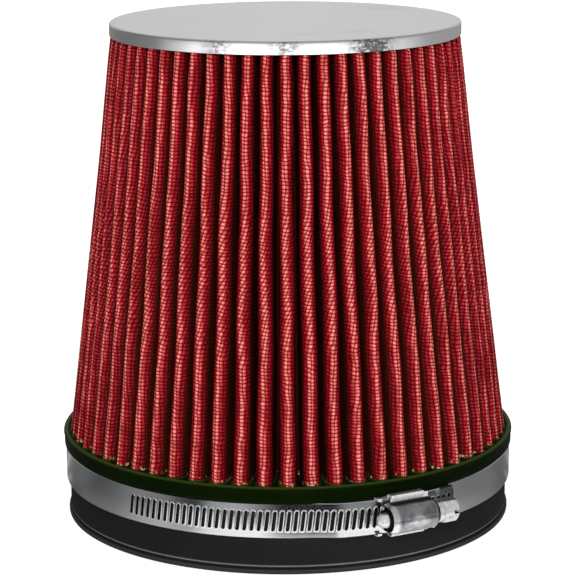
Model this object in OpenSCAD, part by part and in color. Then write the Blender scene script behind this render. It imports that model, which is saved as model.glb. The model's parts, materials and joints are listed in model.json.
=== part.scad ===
// Clamp-on conical air filter, in millimetres.
// The origin is the centre of the neck's mouth, +Z runs up the axis to the cap and -Y is the front.

/* [Overall] */
// Height from the neck's mouth to the top of the cap
filter_h = 186.6; // [120:0.1:260]

/* [Inlet neck] */
// Bore of the neck, which is the outside diameter of the pipe that it grips
inlet_d = 152.4; // [100:0.1:180]
// Depth of the straight bore, from the mouth to the stop
inlet_depth = 22; // [18:0.5:25]
// Wall of the neck below the clamp
neck_wall = 7.45; // [6:0.05:10]
// How far the land under the clamp stands out from the neck's wall
land_step = 0.35; // [0.1:0.05:0.8]
// Height of the bead around the mouth
mouth_bead_h = 1.9; // [1:0.1:4]
// How far the mouth's bead stands out from the neck's wall
mouth_bead_out = 0.75; // [0.2:0.05:1.5]
// Width of the groove above the mouth's bead
mouth_groove_w = 0.7; // [0.3:0.1:2]
// Depth of that groove in the neck's wall
mouth_groove_depth = 0.5; // [0.2:0.1:1]
// Lead-in chamfer inside the mouth
mouth_chamfer = 1; // [0.3:0.1:2]

/* [End ring] */
// Height of the ring that shows between the clamp and the pleats
rim_h = 4.9; // [4:0.1:12]
// How far the rim's bead stands out from the land
rim_out = 1.8; // [1.3:0.1:3]
// Radius of the bead around the rim's upper edge
rim_bead_r = 1.2; // [0.6:0.1:2]
// How far the rim's wall lies inside its bead
rim_wall_step = 0.8; // [0.2:0.1:1]
// Chamfer under the rim
rim_chamfer = 0.8; // [0.2:0.1:1]
// Wall of the neck around the ring's spigot
socket_wall = 4; // [2.5:0.1:6]
// Radius of the ring's throat, where the air leaves the pleats
throat_round = 7; // [3:0.5:8]
// Width of ring inside the pleats' inner folds
throat_margin = 1.4; // [0.8:0.1:4]
// Depth to which the pleats are cast in the ring
ring_embed = 3.8; // [2:0.1:4]

/* [Pleated pack] */
// Number of pleats
pleat_count = 60; // [40:1:64]
// Depth of a pleat, from the outside of its crest to the bottom of the groove beside it
pleat_depth = 15; // [8:0.5:20]
// Width of a crest at the end ring
crest_w_ring = 6.2; // [4:0.1:7]
// Width of a crest at the cap
crest_w_cap = 4.6; // [3.6:0.1:5]
// Width of the groove's bottom
groove_w = 0.9; // [0.4:0.1:1.4]
// Thickness of one wire screen
screen_t = 0.35; // [0.2:0.05:0.5]
// Thickness of the oiled gauze between the screens
gauze_t = 0.8; // [0.4:0.05:1]
// Width of ring outside the crests, where they leave the end ring
crest_margin = 2.7; // [1.8:0.1:5]
// Depth to which the pleats are cast in the cap's potting
cap_embed = 3.4; // [1:0.1:3.5]

/* [Seam clip] */
// Thickness of the strip that closes the pack's seam
clip_t = 0.35; // [0.2:0.05:0.4]
// Share of a pleat's flank that the strip's legs cover
clip_reach = 0.35; // [0.2:0.05:0.6]

/* [Cap] */
// Outside diameter of the cap
cap_d = 130.4; // [80:0.1:170]
// Height of the cap's skirt
cap_h = 4.8; // [4.4:0.1:10]
// Thickness of the cap's metal
cap_t = 0.6; // [0.4:0.1:1]
// Radius of the cap's shoulder
cap_round = 1; // [0.7:0.1:2.5]
// Thickness of potting above the pleats' ends
potting_over = 0.8; // [0.5:0.1:3]

/* [Clamp band] */
// Height of the band's lower edge above the mouth
band_z = 13.7; // [8:0.1:20]
// Width of the band
band_w = 12.7; // [12:0.1:14.3]
// Thickness of the band
band_t = 0.7; // [0.5:0.05:0.9]
// Distance between slots, which is the worm's lead, on the layer that it drives
slot_pitch = 2.6; // [2:0.05:3.2]
// Number of slots
slot_count = 49; // [40:1:52]
// Length of a slot
slot_len = 7.3; // [5:0.1:8]
// Width of a slot
slot_w = 1.2; // [0.8:0.1:1.6]
// Lean of the slots, which follows the worm's thread
slot_lean = 7; // [3:0.5:12]
// Length of plain band past the last slot
tail_len = 2.8; // [1.5:0.1:6]
// Radius of the tail's corners
tail_round = 2.4; // [0.5:0.1:4]

/* [Clamp head] */
// Angle of the clamp's head around the neck, from the front
head_angle = 28.3; // [-180:0.1:180]
// Turns of the screw each way from this setting
screw_turns = 4; // [1:1:4]
// Length of the screw's housing
housing_len = 18.3; // [14:0.1:22]
// Wall of the housing
housing_t = 0.9; // [0.6:0.1:1.2]
// Length of the folds that hold the housing's feet
fold_len = 13.4; // [8:0.1:16]
// How far the folds lie towards the screw's head
fold_shift = 0.6; // [-1.5:0.1:1.5]
// Thickness of the saddle's sheet
saddle_t = 0.5; // [0.4:0.05:0.8]
// How far the saddle's sides stand outside the band's edges
saddle_side = 0.75; // [0.4:0.05:1.5]
// Width of the clips at the saddle's front end, along the band
front_clip_w = 1.7; // [1:0.1:3]
// Length of the front clips across the band's edges
front_clip_len = 2.7; // [1.5:0.1:3]

/* [Screw] */
// Radius of the screw's core
core_r = 3.6; // [2:0.1:4]
// Height of the worm's thread above the core
thread_h = 0.6; // [0.4:0.1:1.2]
// Width of the head across its flats
hex_af = 7.8; // [6:0.1:8.4]
// Length of the hexagon
hex_len = 5.9; // [3:0.1:9]
// Radius of the collar under the hexagon
collar_r = 4.1; // [3.5:0.1:5]
// Length of the collar
collar_len = 3; // [1:0.1:5]
// Length of the point that stands out of the housing
point_len = 4; // [1:0.1:5]
// Width of the driver slot
driver_slot_w = 1.2; // [0.8:0.1:1.6]
// Depth of the driver slot
driver_slot_depth = 1.6; // [0.8:0.1:2.5]

/* [Clearances] */
// Gap between pieces that move on each other
running_gap = 0.3; // [0.25:0.05:0.4]
// Gap between the worm and the housing around it
worm_gap = 0.3; // [0.2:0.05:0.5]

/* [Hidden] */
$fn = 128;
// Length added to a cutter so that it passes through a face
through = 1;

// Neck, from the bore outwards
bore_r = inlet_d / 2;
neck_r = bore_r + neck_wall;
land_r = neck_r + land_step;
mouth_r = neck_r + mouth_bead_out;
socket_r = land_r - socket_wall;
band_top = band_z + band_w;
neck_top = band_top + running_gap;
land_z = band_z - running_gap;

// End ring
rim_top = neck_top + rim_h;
rim_r = land_r + rim_out;
rim_wall_r = rim_r - rim_wall_step;
pack_bottom = rim_top - ring_embed;

// Cap, and the potting inside it
cap_r = cap_d / 2;
cap_edge = filter_h - cap_h;
cap_inner_r = cap_r - cap_t;
potting_top = filter_h - cap_t;
pack_top = potting_top - potting_over;
potting_bottom = pack_top - cap_embed;

// Pleated pack, whose crests lie on a straight cone
pleat_step = 360 / pleat_count;
sheet_t = 2 * screen_t + gauze_t;
crest_r_ring = rim_r - crest_margin;
crest_r_cap = cap_inner_r - running_gap;
crest_slope = (crest_r_cap - crest_r_ring) / (cap_edge - rim_top);
// How far the crest's shoulders drop below its top, and how wide that top is, as shares of its half width
shoulder_drop = 0.55;
crest_flat = 0.45;
throat_r = crest_r_ring - pleat_depth - sheet_t - throat_margin;

// Clamp, layer on layer outwards: band, saddle, raised end of the band, housing's feet
band_r = land_r + running_gap;
saddle_r = band_r + band_t + running_gap;
raised_r = saddle_r + saddle_t + running_gap;
raised_top = raised_r + band_t;
foot_r = raised_top + running_gap;
foot_top = foot_r + housing_t;
band_mid = band_z + band_w / 2;
// Open space between the band's two layers
layer_gap = raised_r - band_r - band_t;
slot_step = slot_pitch / (raised_r + band_t / 2) * 180 / PI;
feed_angle = screw_turns * slot_step;

// Screw and the barrel around it
screw_r = foot_r + core_r;
barrel_in = core_r + thread_h + worm_gap;
barrel_out = barrel_in + housing_t;
side_in = band_w / 2 + saddle_side;
side_out = side_in + saddle_t + 0.1;

// Angles around the neck, from the middle of the clamp's head
clip_end = -atan((housing_len / 2 + running_gap) / foot_r) - 0.1;
clip_start = clip_end - front_clip_w / foot_r * 180 / PI;
saddle_end = atan((fold_len / 2 + fold_shift) / saddle_r) + 0.5;
raised_start = clip_start - feed_angle - 0.5;
ramp_angle = 9;
ramp_start = raised_start - ramp_angle;
tail_end = atan(housing_len / 2 / raised_r) + feed_angle + 2;
last_slot = tail_end - tail_len / raised_r * 180 / PI;
anchor_start = -2;
// Length of one straight facet of the band's outline
band_facet = 1.5;

// ---- Helpers ----

// Point at radius r and sideways distance s, seen along the direction a
function spot(r, s, a) = [r * cos(a) - s * sin(a), r * sin(a) + s * cos(a)];

// Straight run from a at height z0 to b at height z1, and on past both
function along(z, z0, z1, a, b) = a + (b - a) * (z - z0) / (z1 - z0);

// Part of a ring around the axis, between two radii, two angles and two heights
module arc_block(r0, r1, a0, a1, z0, z1) {
    rotate([0, 0, a0])
        rotate_extrude(angle = a1 - a0)
            translate([r0, z0])
                square([r1 - r0, z1 - z0]);
}

// Places the clamp: +X is then outwards at its head, and +Y runs along the screw to the hexagon
module at_head() {
    rotate([0, 0, head_angle - 90])
        children();
}

// Extrudes an outline drawn in X and Z from y0 to y1
module along_y(y0, y1) {
    translate([0, y1, 0])
        rotate([90, 0, 0])
            linear_extrude(y1 - y0)
                children();
}

// Places a child, which is drawn around +Z, on the screw's axis
module on_screw(y) {
    translate([screw_r, y, band_mid])
        rotate([-90, 0, 0])
            children();
}

// ---- Pleated pack ----

// Outside radius of the crests at a height
function crest_r(z) = crest_r_ring + crest_slope * (z - rim_top);

// Half the width of a crest at a height
function crest_half(z) = along(z, rim_top, cap_edge, crest_w_ring, crest_w_cap) / 2;

// Corners of one pleat on the surface that lies inset inside the outer one: crest, then groove
function pleat_corners(z, inset, a) =
    let (
        half = crest_half(z) - inset,
        top = crest_r(z) - inset,
        shoulder = top - shoulder_drop * half,
        bottom = crest_r(z) - pleat_depth - inset,
        groove = groove_w / 2 + inset,
        groove_a = a + pleat_step / 2
    ) [
        spot(shoulder, -half, a),
        spot(top, -crest_flat * half, a),
        spot(top, crest_flat * half, a),
        spot(shoulder, half, a),
        spot(bottom, -groove, groove_a),
        spot(bottom, groove, groove_a)
    ];

// The whole pleated line around the pack, at one height
function pleat_line(z, inset) = [
    for (i = [0:pleat_count - 1])
        for (p = pleat_corners(z, inset, -90 + i * pleat_step))
            [p[0], p[1], z]
];

// Closed sheet between two insets. Sheets that share an inset share the same triangles there
module pleated_sheet(outside, inside) {
    corners = 6 * pleat_count;
    rings = [
        pleat_line(pack_bottom, outside),
        pleat_line(pack_top, outside),
        pleat_line(pack_bottom, inside),
        pleat_line(pack_top, inside)
    ];
    walls = [
        for (i = [0:corners - 1])
            let (j = (i + 1) % corners, up = corners, in = 2 * corners)
            each [
                [i, up + i, up + j],
                [i, up + j, j],
                [in + i, in + up + j, in + up + i],
                [in + i, in + j, in + up + j],
                [up + i, in + up + i, in + up + j],
                [up + i, in + up + j, up + j],
                [i, in + j, in + i],
                [i, j, in + j]
            ]
    ];
    polyhedron(points = [for (ring = rings) each ring], faces = walls);
}

// Both screens and the gauze together, which is the shape cast in the ring and in the potting
module pack_envelope() {
    pleated_sheet(0, sheet_t);
}

module outer_screen() {
    color([0.62, 0.13, 0.12])
        pleated_sheet(0, screen_t);
}

module cotton_gauze() {
    color([0.52, 0.05, 0.06])
        pleated_sheet(screen_t, screen_t + gauze_t);
}

module inner_screen() {
    color([0.60, 0.60, 0.61])
        pleated_sheet(screen_t + gauze_t, sheet_t);
}

// Radius of the inner fold where the pack's two ends meet, less the gap under the clip
function clip_fold(z) = crest_r(z) - pleat_depth - sheet_t - running_gap;

// Outline of the folded strip over that fold, outwards from it. It is the same all the way up
function clip_outline() =
    let (
        z = (rim_top + potting_bottom) / 2,
        half = groove_w / 2 + sheet_t + running_gap,
        // Where the legs end on the flank, which leans towards the crest's shoulder
        crest_in = crest_half(z) - sheet_t,
        shoulder = crest_r(z) - sheet_t - shoulder_drop * crest_in,
        flank = spot(shoulder, crest_in, -pleat_step / 2) - [clip_fold(z), running_gap],
        reach = [0, -half] + clip_reach * (flank - [0, -half])
    ) [
        [-clip_t, -half - clip_t],
        [reach[0], reach[1] - clip_t],
        reach,
        [0, -half],
        [0, half],
        [reach[0], -reach[1]],
        [reach[0], clip_t - reach[1]],
        [-clip_t, half + clip_t]
    ];

module seam_clip() {
    outline = clip_outline();
    n = len(outline);
    // The U of an end, cut into its leg, web and leg
    ends = [[0, 1, 2, 3], [0, 3, 4, 7], [4, 5, 6, 7]];
    corners = [
        for (z = [rim_top, potting_bottom])
            for (p = outline)
                concat(spot(clip_fold(z) + p[0], p[1], 90 + pleat_step / 2), [z])
    ];
    color([0.70, 0.70, 0.71])
        polyhedron(
            points = corners,
            faces = concat(
                ends,
                [for (end = ends) [for (i = [3:-1:0]) n + end[i]]],
                [for (i = [0:n - 1]) [i, n + i, n + (i + 1) % n, (i + 1) % n]]
            )
        );
}

// ---- Cap and potting ----

// Half section of a dished disc: flat top, rounded shoulder, straight skirt down to edge_z
module cap_section(r, top_z, edge_z, corner) {
    translate([0, edge_z])
        square([r, top_z - edge_z - corner]);
    translate([0, edge_z])
        square([r - corner, top_z - edge_z]);
    translate([r - corner, top_z - corner])
        circle(corner);
}

module top_cap() {
    color([0.78, 0.78, 0.79])
        rotate_extrude()
            intersection() {
                difference() {
                    cap_section(cap_r, filter_h, cap_edge, cap_round);
                    cap_section(cap_inner_r, potting_top, cap_edge - through, cap_round - cap_t);
                }
                translate([0, cap_edge])
                    square([cap_r, cap_h]);
            }
}

module top_potting() {
    color([0.10, 0.12, 0.09])
        difference() {
            rotate_extrude()
                intersection() {
                    cap_section(cap_inner_r, potting_top, potting_bottom, cap_round - cap_t);
                    translate([0, potting_bottom])
                        square([cap_inner_r, potting_top - potting_bottom]);
                }
            pack_envelope();
        }
}

// ---- End ring and neck ----

module end_ring_section() {
    bead_z = rim_top - rim_bead_r;
    difference() {
        union() {
            // Spigot that plugs into the neck
            translate([throat_r, inlet_depth])
                square([socket_r - throat_r, rim_top - inlet_depth]);
            // Rim, chamfered below
            polygon([
                [throat_r + throat_round, neck_top],
                [rim_wall_r - rim_chamfer, neck_top],
                [rim_wall_r, neck_top + rim_chamfer],
                [rim_wall_r, rim_top - rim_bead_r],
                [rim_r - rim_bead_r, rim_top],
                [throat_r + throat_round, rim_top]
            ]);
            translate([rim_r - rim_bead_r, bead_z])
                circle(rim_bead_r);
        }
        // Rounded throat
        difference() {
            translate([throat_r - through, inlet_depth - through])
                square([throat_round + through, throat_round + through]);
            translate([throat_r + throat_round, inlet_depth + throat_round])
                circle(throat_round);
        }
    }
}

module end_ring() {
    color([0.05, 0.11, 0.03])
        difference() {
            rotate_extrude()
                end_ring_section();
            pack_envelope();
        }
}

module neck_sleeve() {
    groove_r = neck_r - mouth_groove_depth;
    groove_top = mouth_bead_h + mouth_groove_w;
    edge = mouth_bead_out;
    color([0.09, 0.09, 0.09])
        rotate_extrude()
            polygon([
                [bore_r + mouth_chamfer, 0],
                [mouth_r - edge / 2, 0],
                [mouth_r, edge / 2],
                [mouth_r, mouth_bead_h - edge / 2],
                [groove_r, mouth_bead_h],
                [groove_r, groove_top - mouth_groove_w / 4],
                [neck_r, groove_top],
                [neck_r, land_z - land_step],
                [land_r, land_z],
                [land_r, neck_top],
                [socket_r, neck_top],
                [socket_r, inlet_depth],
                [bore_r, inlet_depth],
                [bore_r, mouth_chamfer]
            ]);
}

// ---- Clamp ----

// Rounded slot, drawn along X
module slot_outline() {
    run = slot_len - slot_w;
    square([run, slot_w], center = true);
    for (side = [-1, 1])
        translate([side * run / 2, 0])
            circle(slot_w / 2, $fn = 32);
}

// Radius of the band's inner face: it climbs in a smooth ramp from the neck to the layer above the saddle
function band_lay(a) =
    let (share = min(max((a - ramp_start) / ramp_angle, 0), 1))
    band_r + (raised_r - band_r) * (1 - cos(180 * share)) / 2;

// The band as one strip, laid from its anchored end under the saddle once round to its free end
module band_strip() {
    start = anchor_start - 360;
    steps = ceil((tail_end - start) / band_facet);
    path = [for (i = [0:steps]) start + (tail_end - start) * i / steps];
    translate([0, 0, band_z])
        linear_extrude(band_w)
            polygon(concat(
                [for (a = path) spot(band_lay(a), 0, a)],
                [for (i = [steps:-1:0]) spot(band_lay(path[i]) + band_t, 0, path[i])]
            ));
}

// Corner cutters that round the free end of the band
module tail_corners() {
    half = band_w / 2;
    inset = half - tail_round;
    for (side = [-1, 1])
        rotate([0, 0, tail_end])
            translate([raised_r - through, 0, band_mid])
                rotate([0, 90, 0])
                    linear_extrude(band_t + 2 * through)
                        polygon(concat(
                            [[side * (half + through), through], [side * inset, through]],
                            [for (a = [0:15:90]) [side * (inset + tail_round * sin(a)), tail_round * (cos(a) - 1)]],
                            [[side * (half + through), -tail_round]]
                        ));
}

module clamp_band() {
    color([0.74, 0.74, 0.75])
        at_head()
            difference() {
                band_strip();
                for (a = [for (i = [0:slot_count - 1]) last_slot - i * slot_step])
                    rotate([0, 0, a])
                        translate([band_lay(a) + band_t / 2, 0, band_mid])
                            rotate([0, 90, 0])
                                linear_extrude(band_t + layer_gap, center = true)
                                    rotate([0, 0, slot_lean])
                                        slot_outline();
                tail_corners();
            }
}

// Sheet under the band's free end, with sides that fold over the housing's feet
module clamp_saddle() {
    fold_start = fold_shift - fold_len / 2;
    fold_end = fold_shift + fold_len / 2;
    clip_top = foot_r + saddle_t + 0.1;
    color([0.72, 0.72, 0.73])
        at_head()
            union() {
                arc_block(saddle_r, saddle_r + saddle_t, clip_start, saddle_end,
                    band_mid - side_out, band_mid + side_out);
                for (side = [-1, 1]) {
                    side_z = band_mid + side * (side_in + side_out) / 2;
                    difference() {
                        union() {
                            translate([(saddle_r + foot_top + saddle_t) / 2, fold_shift, side_z])
                                cube([foot_top + saddle_t - saddle_r, fold_len, side_out - side_in], center = true);
                            translate([foot_top, fold_start, band_mid + min(side * barrel_out, side * side_out)])
                                cube([saddle_t, fold_end - fold_start, side_out - barrel_out]);
                        }
                        cylinder(r = saddle_r, h = 2 * neck_top);
                    }
                    arc_block(saddle_r, clip_top, clip_start, clip_end,
                        band_mid + min(side * side_in, side * side_out),
                        band_mid + max(side * side_in, side * side_out));
                    arc_block(foot_r, clip_top, clip_start, clip_end,
                        band_mid + min(side * (side_out - front_clip_len), side * side_out),
                        band_mid + max(side * (side_out - front_clip_len), side * side_out));
                }
            }
}

module clamp_housing() {
    half = housing_len / 2;
    foot_start = fold_shift - fold_len / 2;
    lip = housing_t / 2;
    color([0.76, 0.76, 0.77])
        at_head()
            difference() {
                union() {
                    // Arched barrel
                    along_y(-half, half)
                        translate([0, band_mid]) {
                            translate([screw_r, 0])
                                circle(barrel_out);
                            translate([saddle_r, -barrel_out])
                                square([screw_r - saddle_r, 2 * barrel_out]);
                        }
                    // Feet
                    along_y(foot_start, half)
                        translate([saddle_r, band_mid - side_in])
                            square([foot_top - saddle_r, 2 * side_in]);
                }
                // Tunnel for the worm
                along_y(-half - through, half + through)
                    translate([0, band_mid]) {
                        translate([screw_r, 0])
                            circle(barrel_in);
                        translate([saddle_r - through, -barrel_in])
                            square([screw_r - saddle_r + through, 2 * barrel_in]);
                    }
                // Chamfers inside both mouths
                on_screw(half - lip)
                    cylinder(r1 = barrel_in, r2 = barrel_in + 2 * lip, h = 2 * lip);
                on_screw(-half - lip)
                    cylinder(r1 = barrel_in + 2 * lip, r2 = barrel_in, h = 2 * lip);
                // Running clearance over the band
                cylinder(r = foot_r, h = 2 * neck_top);
            }
}

module worm_screw() {
    half = housing_len / 2;
    collar_y = half + running_gap;
    hex_y = collar_y + collar_len;
    end_y = hex_y + hex_len;
    corner_r = hex_af / 2 / cos(30);
    chamfer = corner_r - hex_af / 2;
    color([0.80, 0.80, 0.81])
        at_head()
            difference() {
                union() {
                    on_screw(-half)
                        cylinder(r = core_r, h = housing_len + running_gap);
                    // Rounded point
                    on_screw(-half - point_len / 2)
                        cylinder(r1 = core_r * 0.8, r2 = core_r, h = point_len / 2);
                    on_screw(-half - point_len)
                        cylinder(r1 = core_r * 0.25, r2 = core_r * 0.8, h = point_len / 2);
                    on_screw(collar_y)
                        cylinder(r = collar_r, h = collar_len);
                    // Hexagon with a chamfered end
                    intersection() {
                        on_screw(hex_y)
                            cylinder(r = corner_r, h = hex_len, $fn = 6);
                        on_screw(end_y - 2 * corner_r)
                            cylinder(r1 = 3 * corner_r - chamfer, r2 = corner_r - chamfer, h = 2 * corner_r);
                    }
                }
                // Driver slot
                translate([screw_r, end_y, band_mid])
                    cube([2 * corner_r + through, 2 * driver_slot_depth, driver_slot_w], center = true);
            }
}

top_cap();
top_potting();
outer_screen();
cotton_gauze();
inner_screen();
seam_clip();
end_ring();
neck_sleeve();
clamp_band();
clamp_saddle();
clamp_housing();
worm_screw();
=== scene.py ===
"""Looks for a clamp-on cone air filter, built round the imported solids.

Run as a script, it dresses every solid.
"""

import json
import math

import bmesh
import bpy
import numpy as np
from bpy.props import FloatProperty, FloatVectorProperty, IntProperty, PointerProperty
from mathutils import Euler, Matrix, Vector


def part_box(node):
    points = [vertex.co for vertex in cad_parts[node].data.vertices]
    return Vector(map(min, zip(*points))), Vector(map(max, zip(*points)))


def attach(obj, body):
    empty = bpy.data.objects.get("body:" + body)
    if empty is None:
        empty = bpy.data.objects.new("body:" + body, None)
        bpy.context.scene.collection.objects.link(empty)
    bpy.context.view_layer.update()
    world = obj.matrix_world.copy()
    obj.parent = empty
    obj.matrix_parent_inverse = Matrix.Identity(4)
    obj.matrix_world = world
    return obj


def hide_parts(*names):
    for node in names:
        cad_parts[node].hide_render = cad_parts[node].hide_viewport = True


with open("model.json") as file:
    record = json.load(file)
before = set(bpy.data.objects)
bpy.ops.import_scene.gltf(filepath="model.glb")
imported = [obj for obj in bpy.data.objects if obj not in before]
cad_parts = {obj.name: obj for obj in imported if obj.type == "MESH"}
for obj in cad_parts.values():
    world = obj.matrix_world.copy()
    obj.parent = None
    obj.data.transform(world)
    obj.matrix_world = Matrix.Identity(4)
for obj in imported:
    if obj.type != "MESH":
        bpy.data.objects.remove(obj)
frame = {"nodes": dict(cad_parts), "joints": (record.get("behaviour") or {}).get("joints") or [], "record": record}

bl_info = {
    "name": "Cone Air Filter",
    "version": (1, 0, 0),
    "blender": (4, 5, 0),
    "location": "3D View > Sidebar > Filter",
    "description": "Builds the pleats, cap, ring, neck and worm clamp of a cone air filter",
    "category": "Add Mesh",
}

MM = 0.001
TURN = 2 * math.pi

# ---- What the frame gives, in metres ----

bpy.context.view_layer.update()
CAP_LOW, CAP_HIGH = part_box("top_cap")
PACK_LOW, PACK_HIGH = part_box("outer_screen")
RING_LOW, RING_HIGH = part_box("end_ring")
NECK_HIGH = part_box("neck_sleeve")[1]
BAND_LOW, BAND_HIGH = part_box("clamp_band")
BAND_MID, BAND_HALF = (BAND_LOW.z + BAND_HIGH.z) / 2, (BAND_HIGH.z - BAND_LOW.z) / 2
INLET = next(m for m in frame["record"]["mounts"] if m["name"] == "inlet")
BORE_R = INLET["dims"]["r_mm"] * MM
SCREW_JOINT = next(j for j in frame["joints"] if j["name"] == "screw_turn")
SCREW_AT = Vector(SCREW_JOINT["pos_m"])
SCREW_R = math.hypot(SCREW_AT.x, SCREW_AT.y)
HEAD_TURN = math.atan2(SCREW_AT.y, SCREW_AT.x)

# ---- Settings ----


def linear(*levels):
    """Screen levels from 0 to 255 as a scene colour."""
    return tuple((v / 255 / 12.92) if v <= 10 else ((v / 255 + 0.055) / 1.055) ** 2.4 for v in levels)


def scaled(colour, by, more=0.0):
    """The colour times a number, with another added to each channel."""
    return tuple(c * by + more for c in colour)


def length(name, about, millimetres):
    return FloatProperty(
        name=name, description=about, default=millimetres * MM, min=0.0, unit="LENGTH", subtype="DISTANCE"
    )


def colour(name, about, levels):
    return FloatVectorProperty(
        name=name, description=about, default=linear(*levels), min=0.0, max=1.0, size=3, subtype="COLOR"
    )


def angle(name, about, degrees):
    return FloatProperty(
        name=name, description=about, default=math.radians(degrees), unit="ROTATION", subtype="ANGLE"
    )


def power(name, about, watts):
    return FloatProperty(name=name, description=about, default=watts, unit="POWER")


class CapSettings(bpy.types.PropertyGroup):
    """Sizes and colours of the cap."""

    wall: length("Wall", "Thickness of the cap's sheet", 0.6)
    shoulder: length("Shoulder", "Radius between the cap's top and its skirt", 0.75)
    metal: colour("Metal", "Colour of the polished sheet", (226, 226, 228))
    mark: colour("Marks", "Colour of the handling marks", (70, 70, 72))


class PackSettings(bpy.types.PropertyGroup):
    """Sizes and colours of the pleated pack."""

    pleats: IntProperty(name="Pleats", description="Number of pleats round the pack", default=60, min=12)
    depth: length("Depth", "Depth of a pleat from crest to groove", 15.0)
    crest_low: length("Crest at the ring", "Width of a crest where it leaves the ring", 6.2)
    crest_high: length("Crest at the cap", "Width of a crest under the cap", 4.6)
    taper: FloatProperty(name="Taper", description="Depth of a crest's rounding against half its width", default=1.5)
    groove: length("Groove", "Width of the bottom of a groove", 0.9)
    margin: length("Margin", "Ring outside the crests", 2.7)
    gap_under_cap: length("Gap under the cap", "Room between crests and skirt", 0.3)
    belly: length("Belly", "How far the crests bulge just under the cap", 0.5)
    wave: length("Wave", "How far the crests wander sideways", 0.34)
    screen: length("Screen", "Thickness of a wire screen", 0.35)
    total: length("Total", "Thickness of both screens and the gauze", 1.5)
    mesh: length("Mesh", "Distance between two wires, up the pleat", 1.325)
    mesh_wide: length("Mesh width", "Distance between two wires, across the pleat", 1.6)
    seed: IntProperty(name="Seed", description="Seed of the crests' wander", default=4)
    wire: colour("Wire", "Colour of the coated wire", (184, 22, 36))
    # Painted highlight: this pale pink along the crests stands in for the light on them
    worn: colour("Worn wire", "Colour of the wire along the crests, where the coat is thin", (252, 134, 124))
    shade: colour("Between wires", "Colour of the oiled gauze between the wires", (104, 5, 12))
    # Painted shade: the darker wire on a pleat's sides stands in for the shade there
    flank: colour("Flank", "Colour of the wire on a pleat's sides", (142, 17, 29))
    # Painted shade: this near-black deep in a groove stands in for the shade there
    groove_dark: colour("Groove", "Colour deep in a groove, where oil collects", (34, 16, 3))


class RingSettings(bpy.types.PropertyGroup):
    """Sizes and colours of the cast ring."""

    bead: length("Bead", "Radius of the bead round the rim", 1.2)
    step: length("Step", "How far the rim's wall lies inside its bead", 0.25)
    throat: length("Throat", "Radius of the throat where the air leaves the pleats", 65.2)
    throat_round: length("Throat round", "Rounding of the throat's edge", 7.0)
    spigot: length("Spigot", "Radius of the spigot that plugs into the neck", 80.0)
    lip: length("Lip", "How far the bead stands above the resin between the pleats", 0.9)
    creep: length("Creep", "How far the resin climbs the pleats' feet", 0.9)
    resin: colour("Resin", "Colour of the cast ring", (6, 16, 1))


class NeckSettings(bpy.types.PropertyGroup):
    """Sizes and colours of the rubber neck."""

    wall: length("Wall", "Wall of the neck below the clamp", 7.45)
    land: length("Land", "How far the land under the clamp stands out", 0.35)
    lip: length("Lip", "Height of the lip round the mouth", 1.9)
    groove: length("Groove", "Width of the groove above the lip", 0.7)
    groove_depth: length("Groove depth", "Depth of that groove", 0.5)
    rubber: colour("Rubber", "Colour of the moulded rubber", (25, 25, 26))


class ClampSettings(bpy.types.PropertyGroup):
    """Sizes and colours of the worm clamp."""

    thick: length("Thickness", "Thickness of the band", 0.7)
    lower_r: length("Band radius", "Inner radius of the band on the neck", 84.3)
    upper_r: length("Raised radius", "Inner radius of the band over the saddle", 86.1)
    ramp: angle("Ramp", "Angle over which the band climbs to the saddle", 9.0)
    ramp_start: angle("Ramp start", "Where the band starts to climb, from the head", -23.8)
    start: angle("Start", "Where the band's fixed end lies, from the head", -2.0)
    tail: angle("Tail", "Where the band's free end lies, from the head", 14.96)
    tail_round: length("Tail corners", "Radius of the free end's corners", 2.4)
    last_slot: angle("Last slot", "Where the slot nearest the free end lies, from the head", 13.1)
    pitch: length("Pitch", "Distance between two slots", 2.6)
    slots: IntProperty(name="Slots", description="Number of slots", default=49, min=4)
    slot_long: length("Slot length", "Length of a slot", 7.3)
    slot_wide: length("Slot width", "Width of a slot", 1.2)
    lean: angle("Lean", "Lean of the slots", 7.0)
    rim: length("Rim", "Height of the pressed rim round a slot", 0.16)
    barrel: length("Barrel", "Outer radius of the screw's housing", 5.4)
    housing_wall: length("Housing wall", "Sheet of the housing", 0.9)
    housing_long: length("Housing length", "Length of the housing along the screw", 18.3)
    foot: length("Foot", "Half the width over the housing's feet", 7.1)
    foot_r: length("Foot radius", "Radius of the underside of the feet", 87.1)
    saddle_wall: length("Saddle sheet", "Sheet of the saddle", 0.5)
    fold_long: length("Fold", "Length of the folds over the feet", 13.4)
    fold_shift: length("Fold shift", "How far the folds lie towards the screw's head", 0.6)
    steel: colour("Steel", "Colour of the rolled strip", (234, 235, 237))


class ScrewSettings(bpy.types.PropertyGroup):
    """Sizes and colours of the worm screw."""

    core: length("Core", "Radius of the core between the threads", 3.3)
    crest: length("Thread", "Radius over the thread", 4.2)
    point: length("Point", "Length of the rounded point", 4.0)
    collar: length("Collar", "Radius of the collar", 4.1)
    collar_long: length("Collar length", "Length of the collar", 3.0)
    flats: length("Flats", "Width of the hexagon across its flats", 7.8)
    hex_long: length("Hexagon", "Length of the hexagon", 5.9)
    slot_wide: length("Driver slot", "Width of the driver slot", 1.3)
    slot_deep: length("Driver depth", "Depth of the driver slot", 2.3)
    steel: colour("Steel", "Colour of the plated screw", (224, 225, 228))


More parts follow.
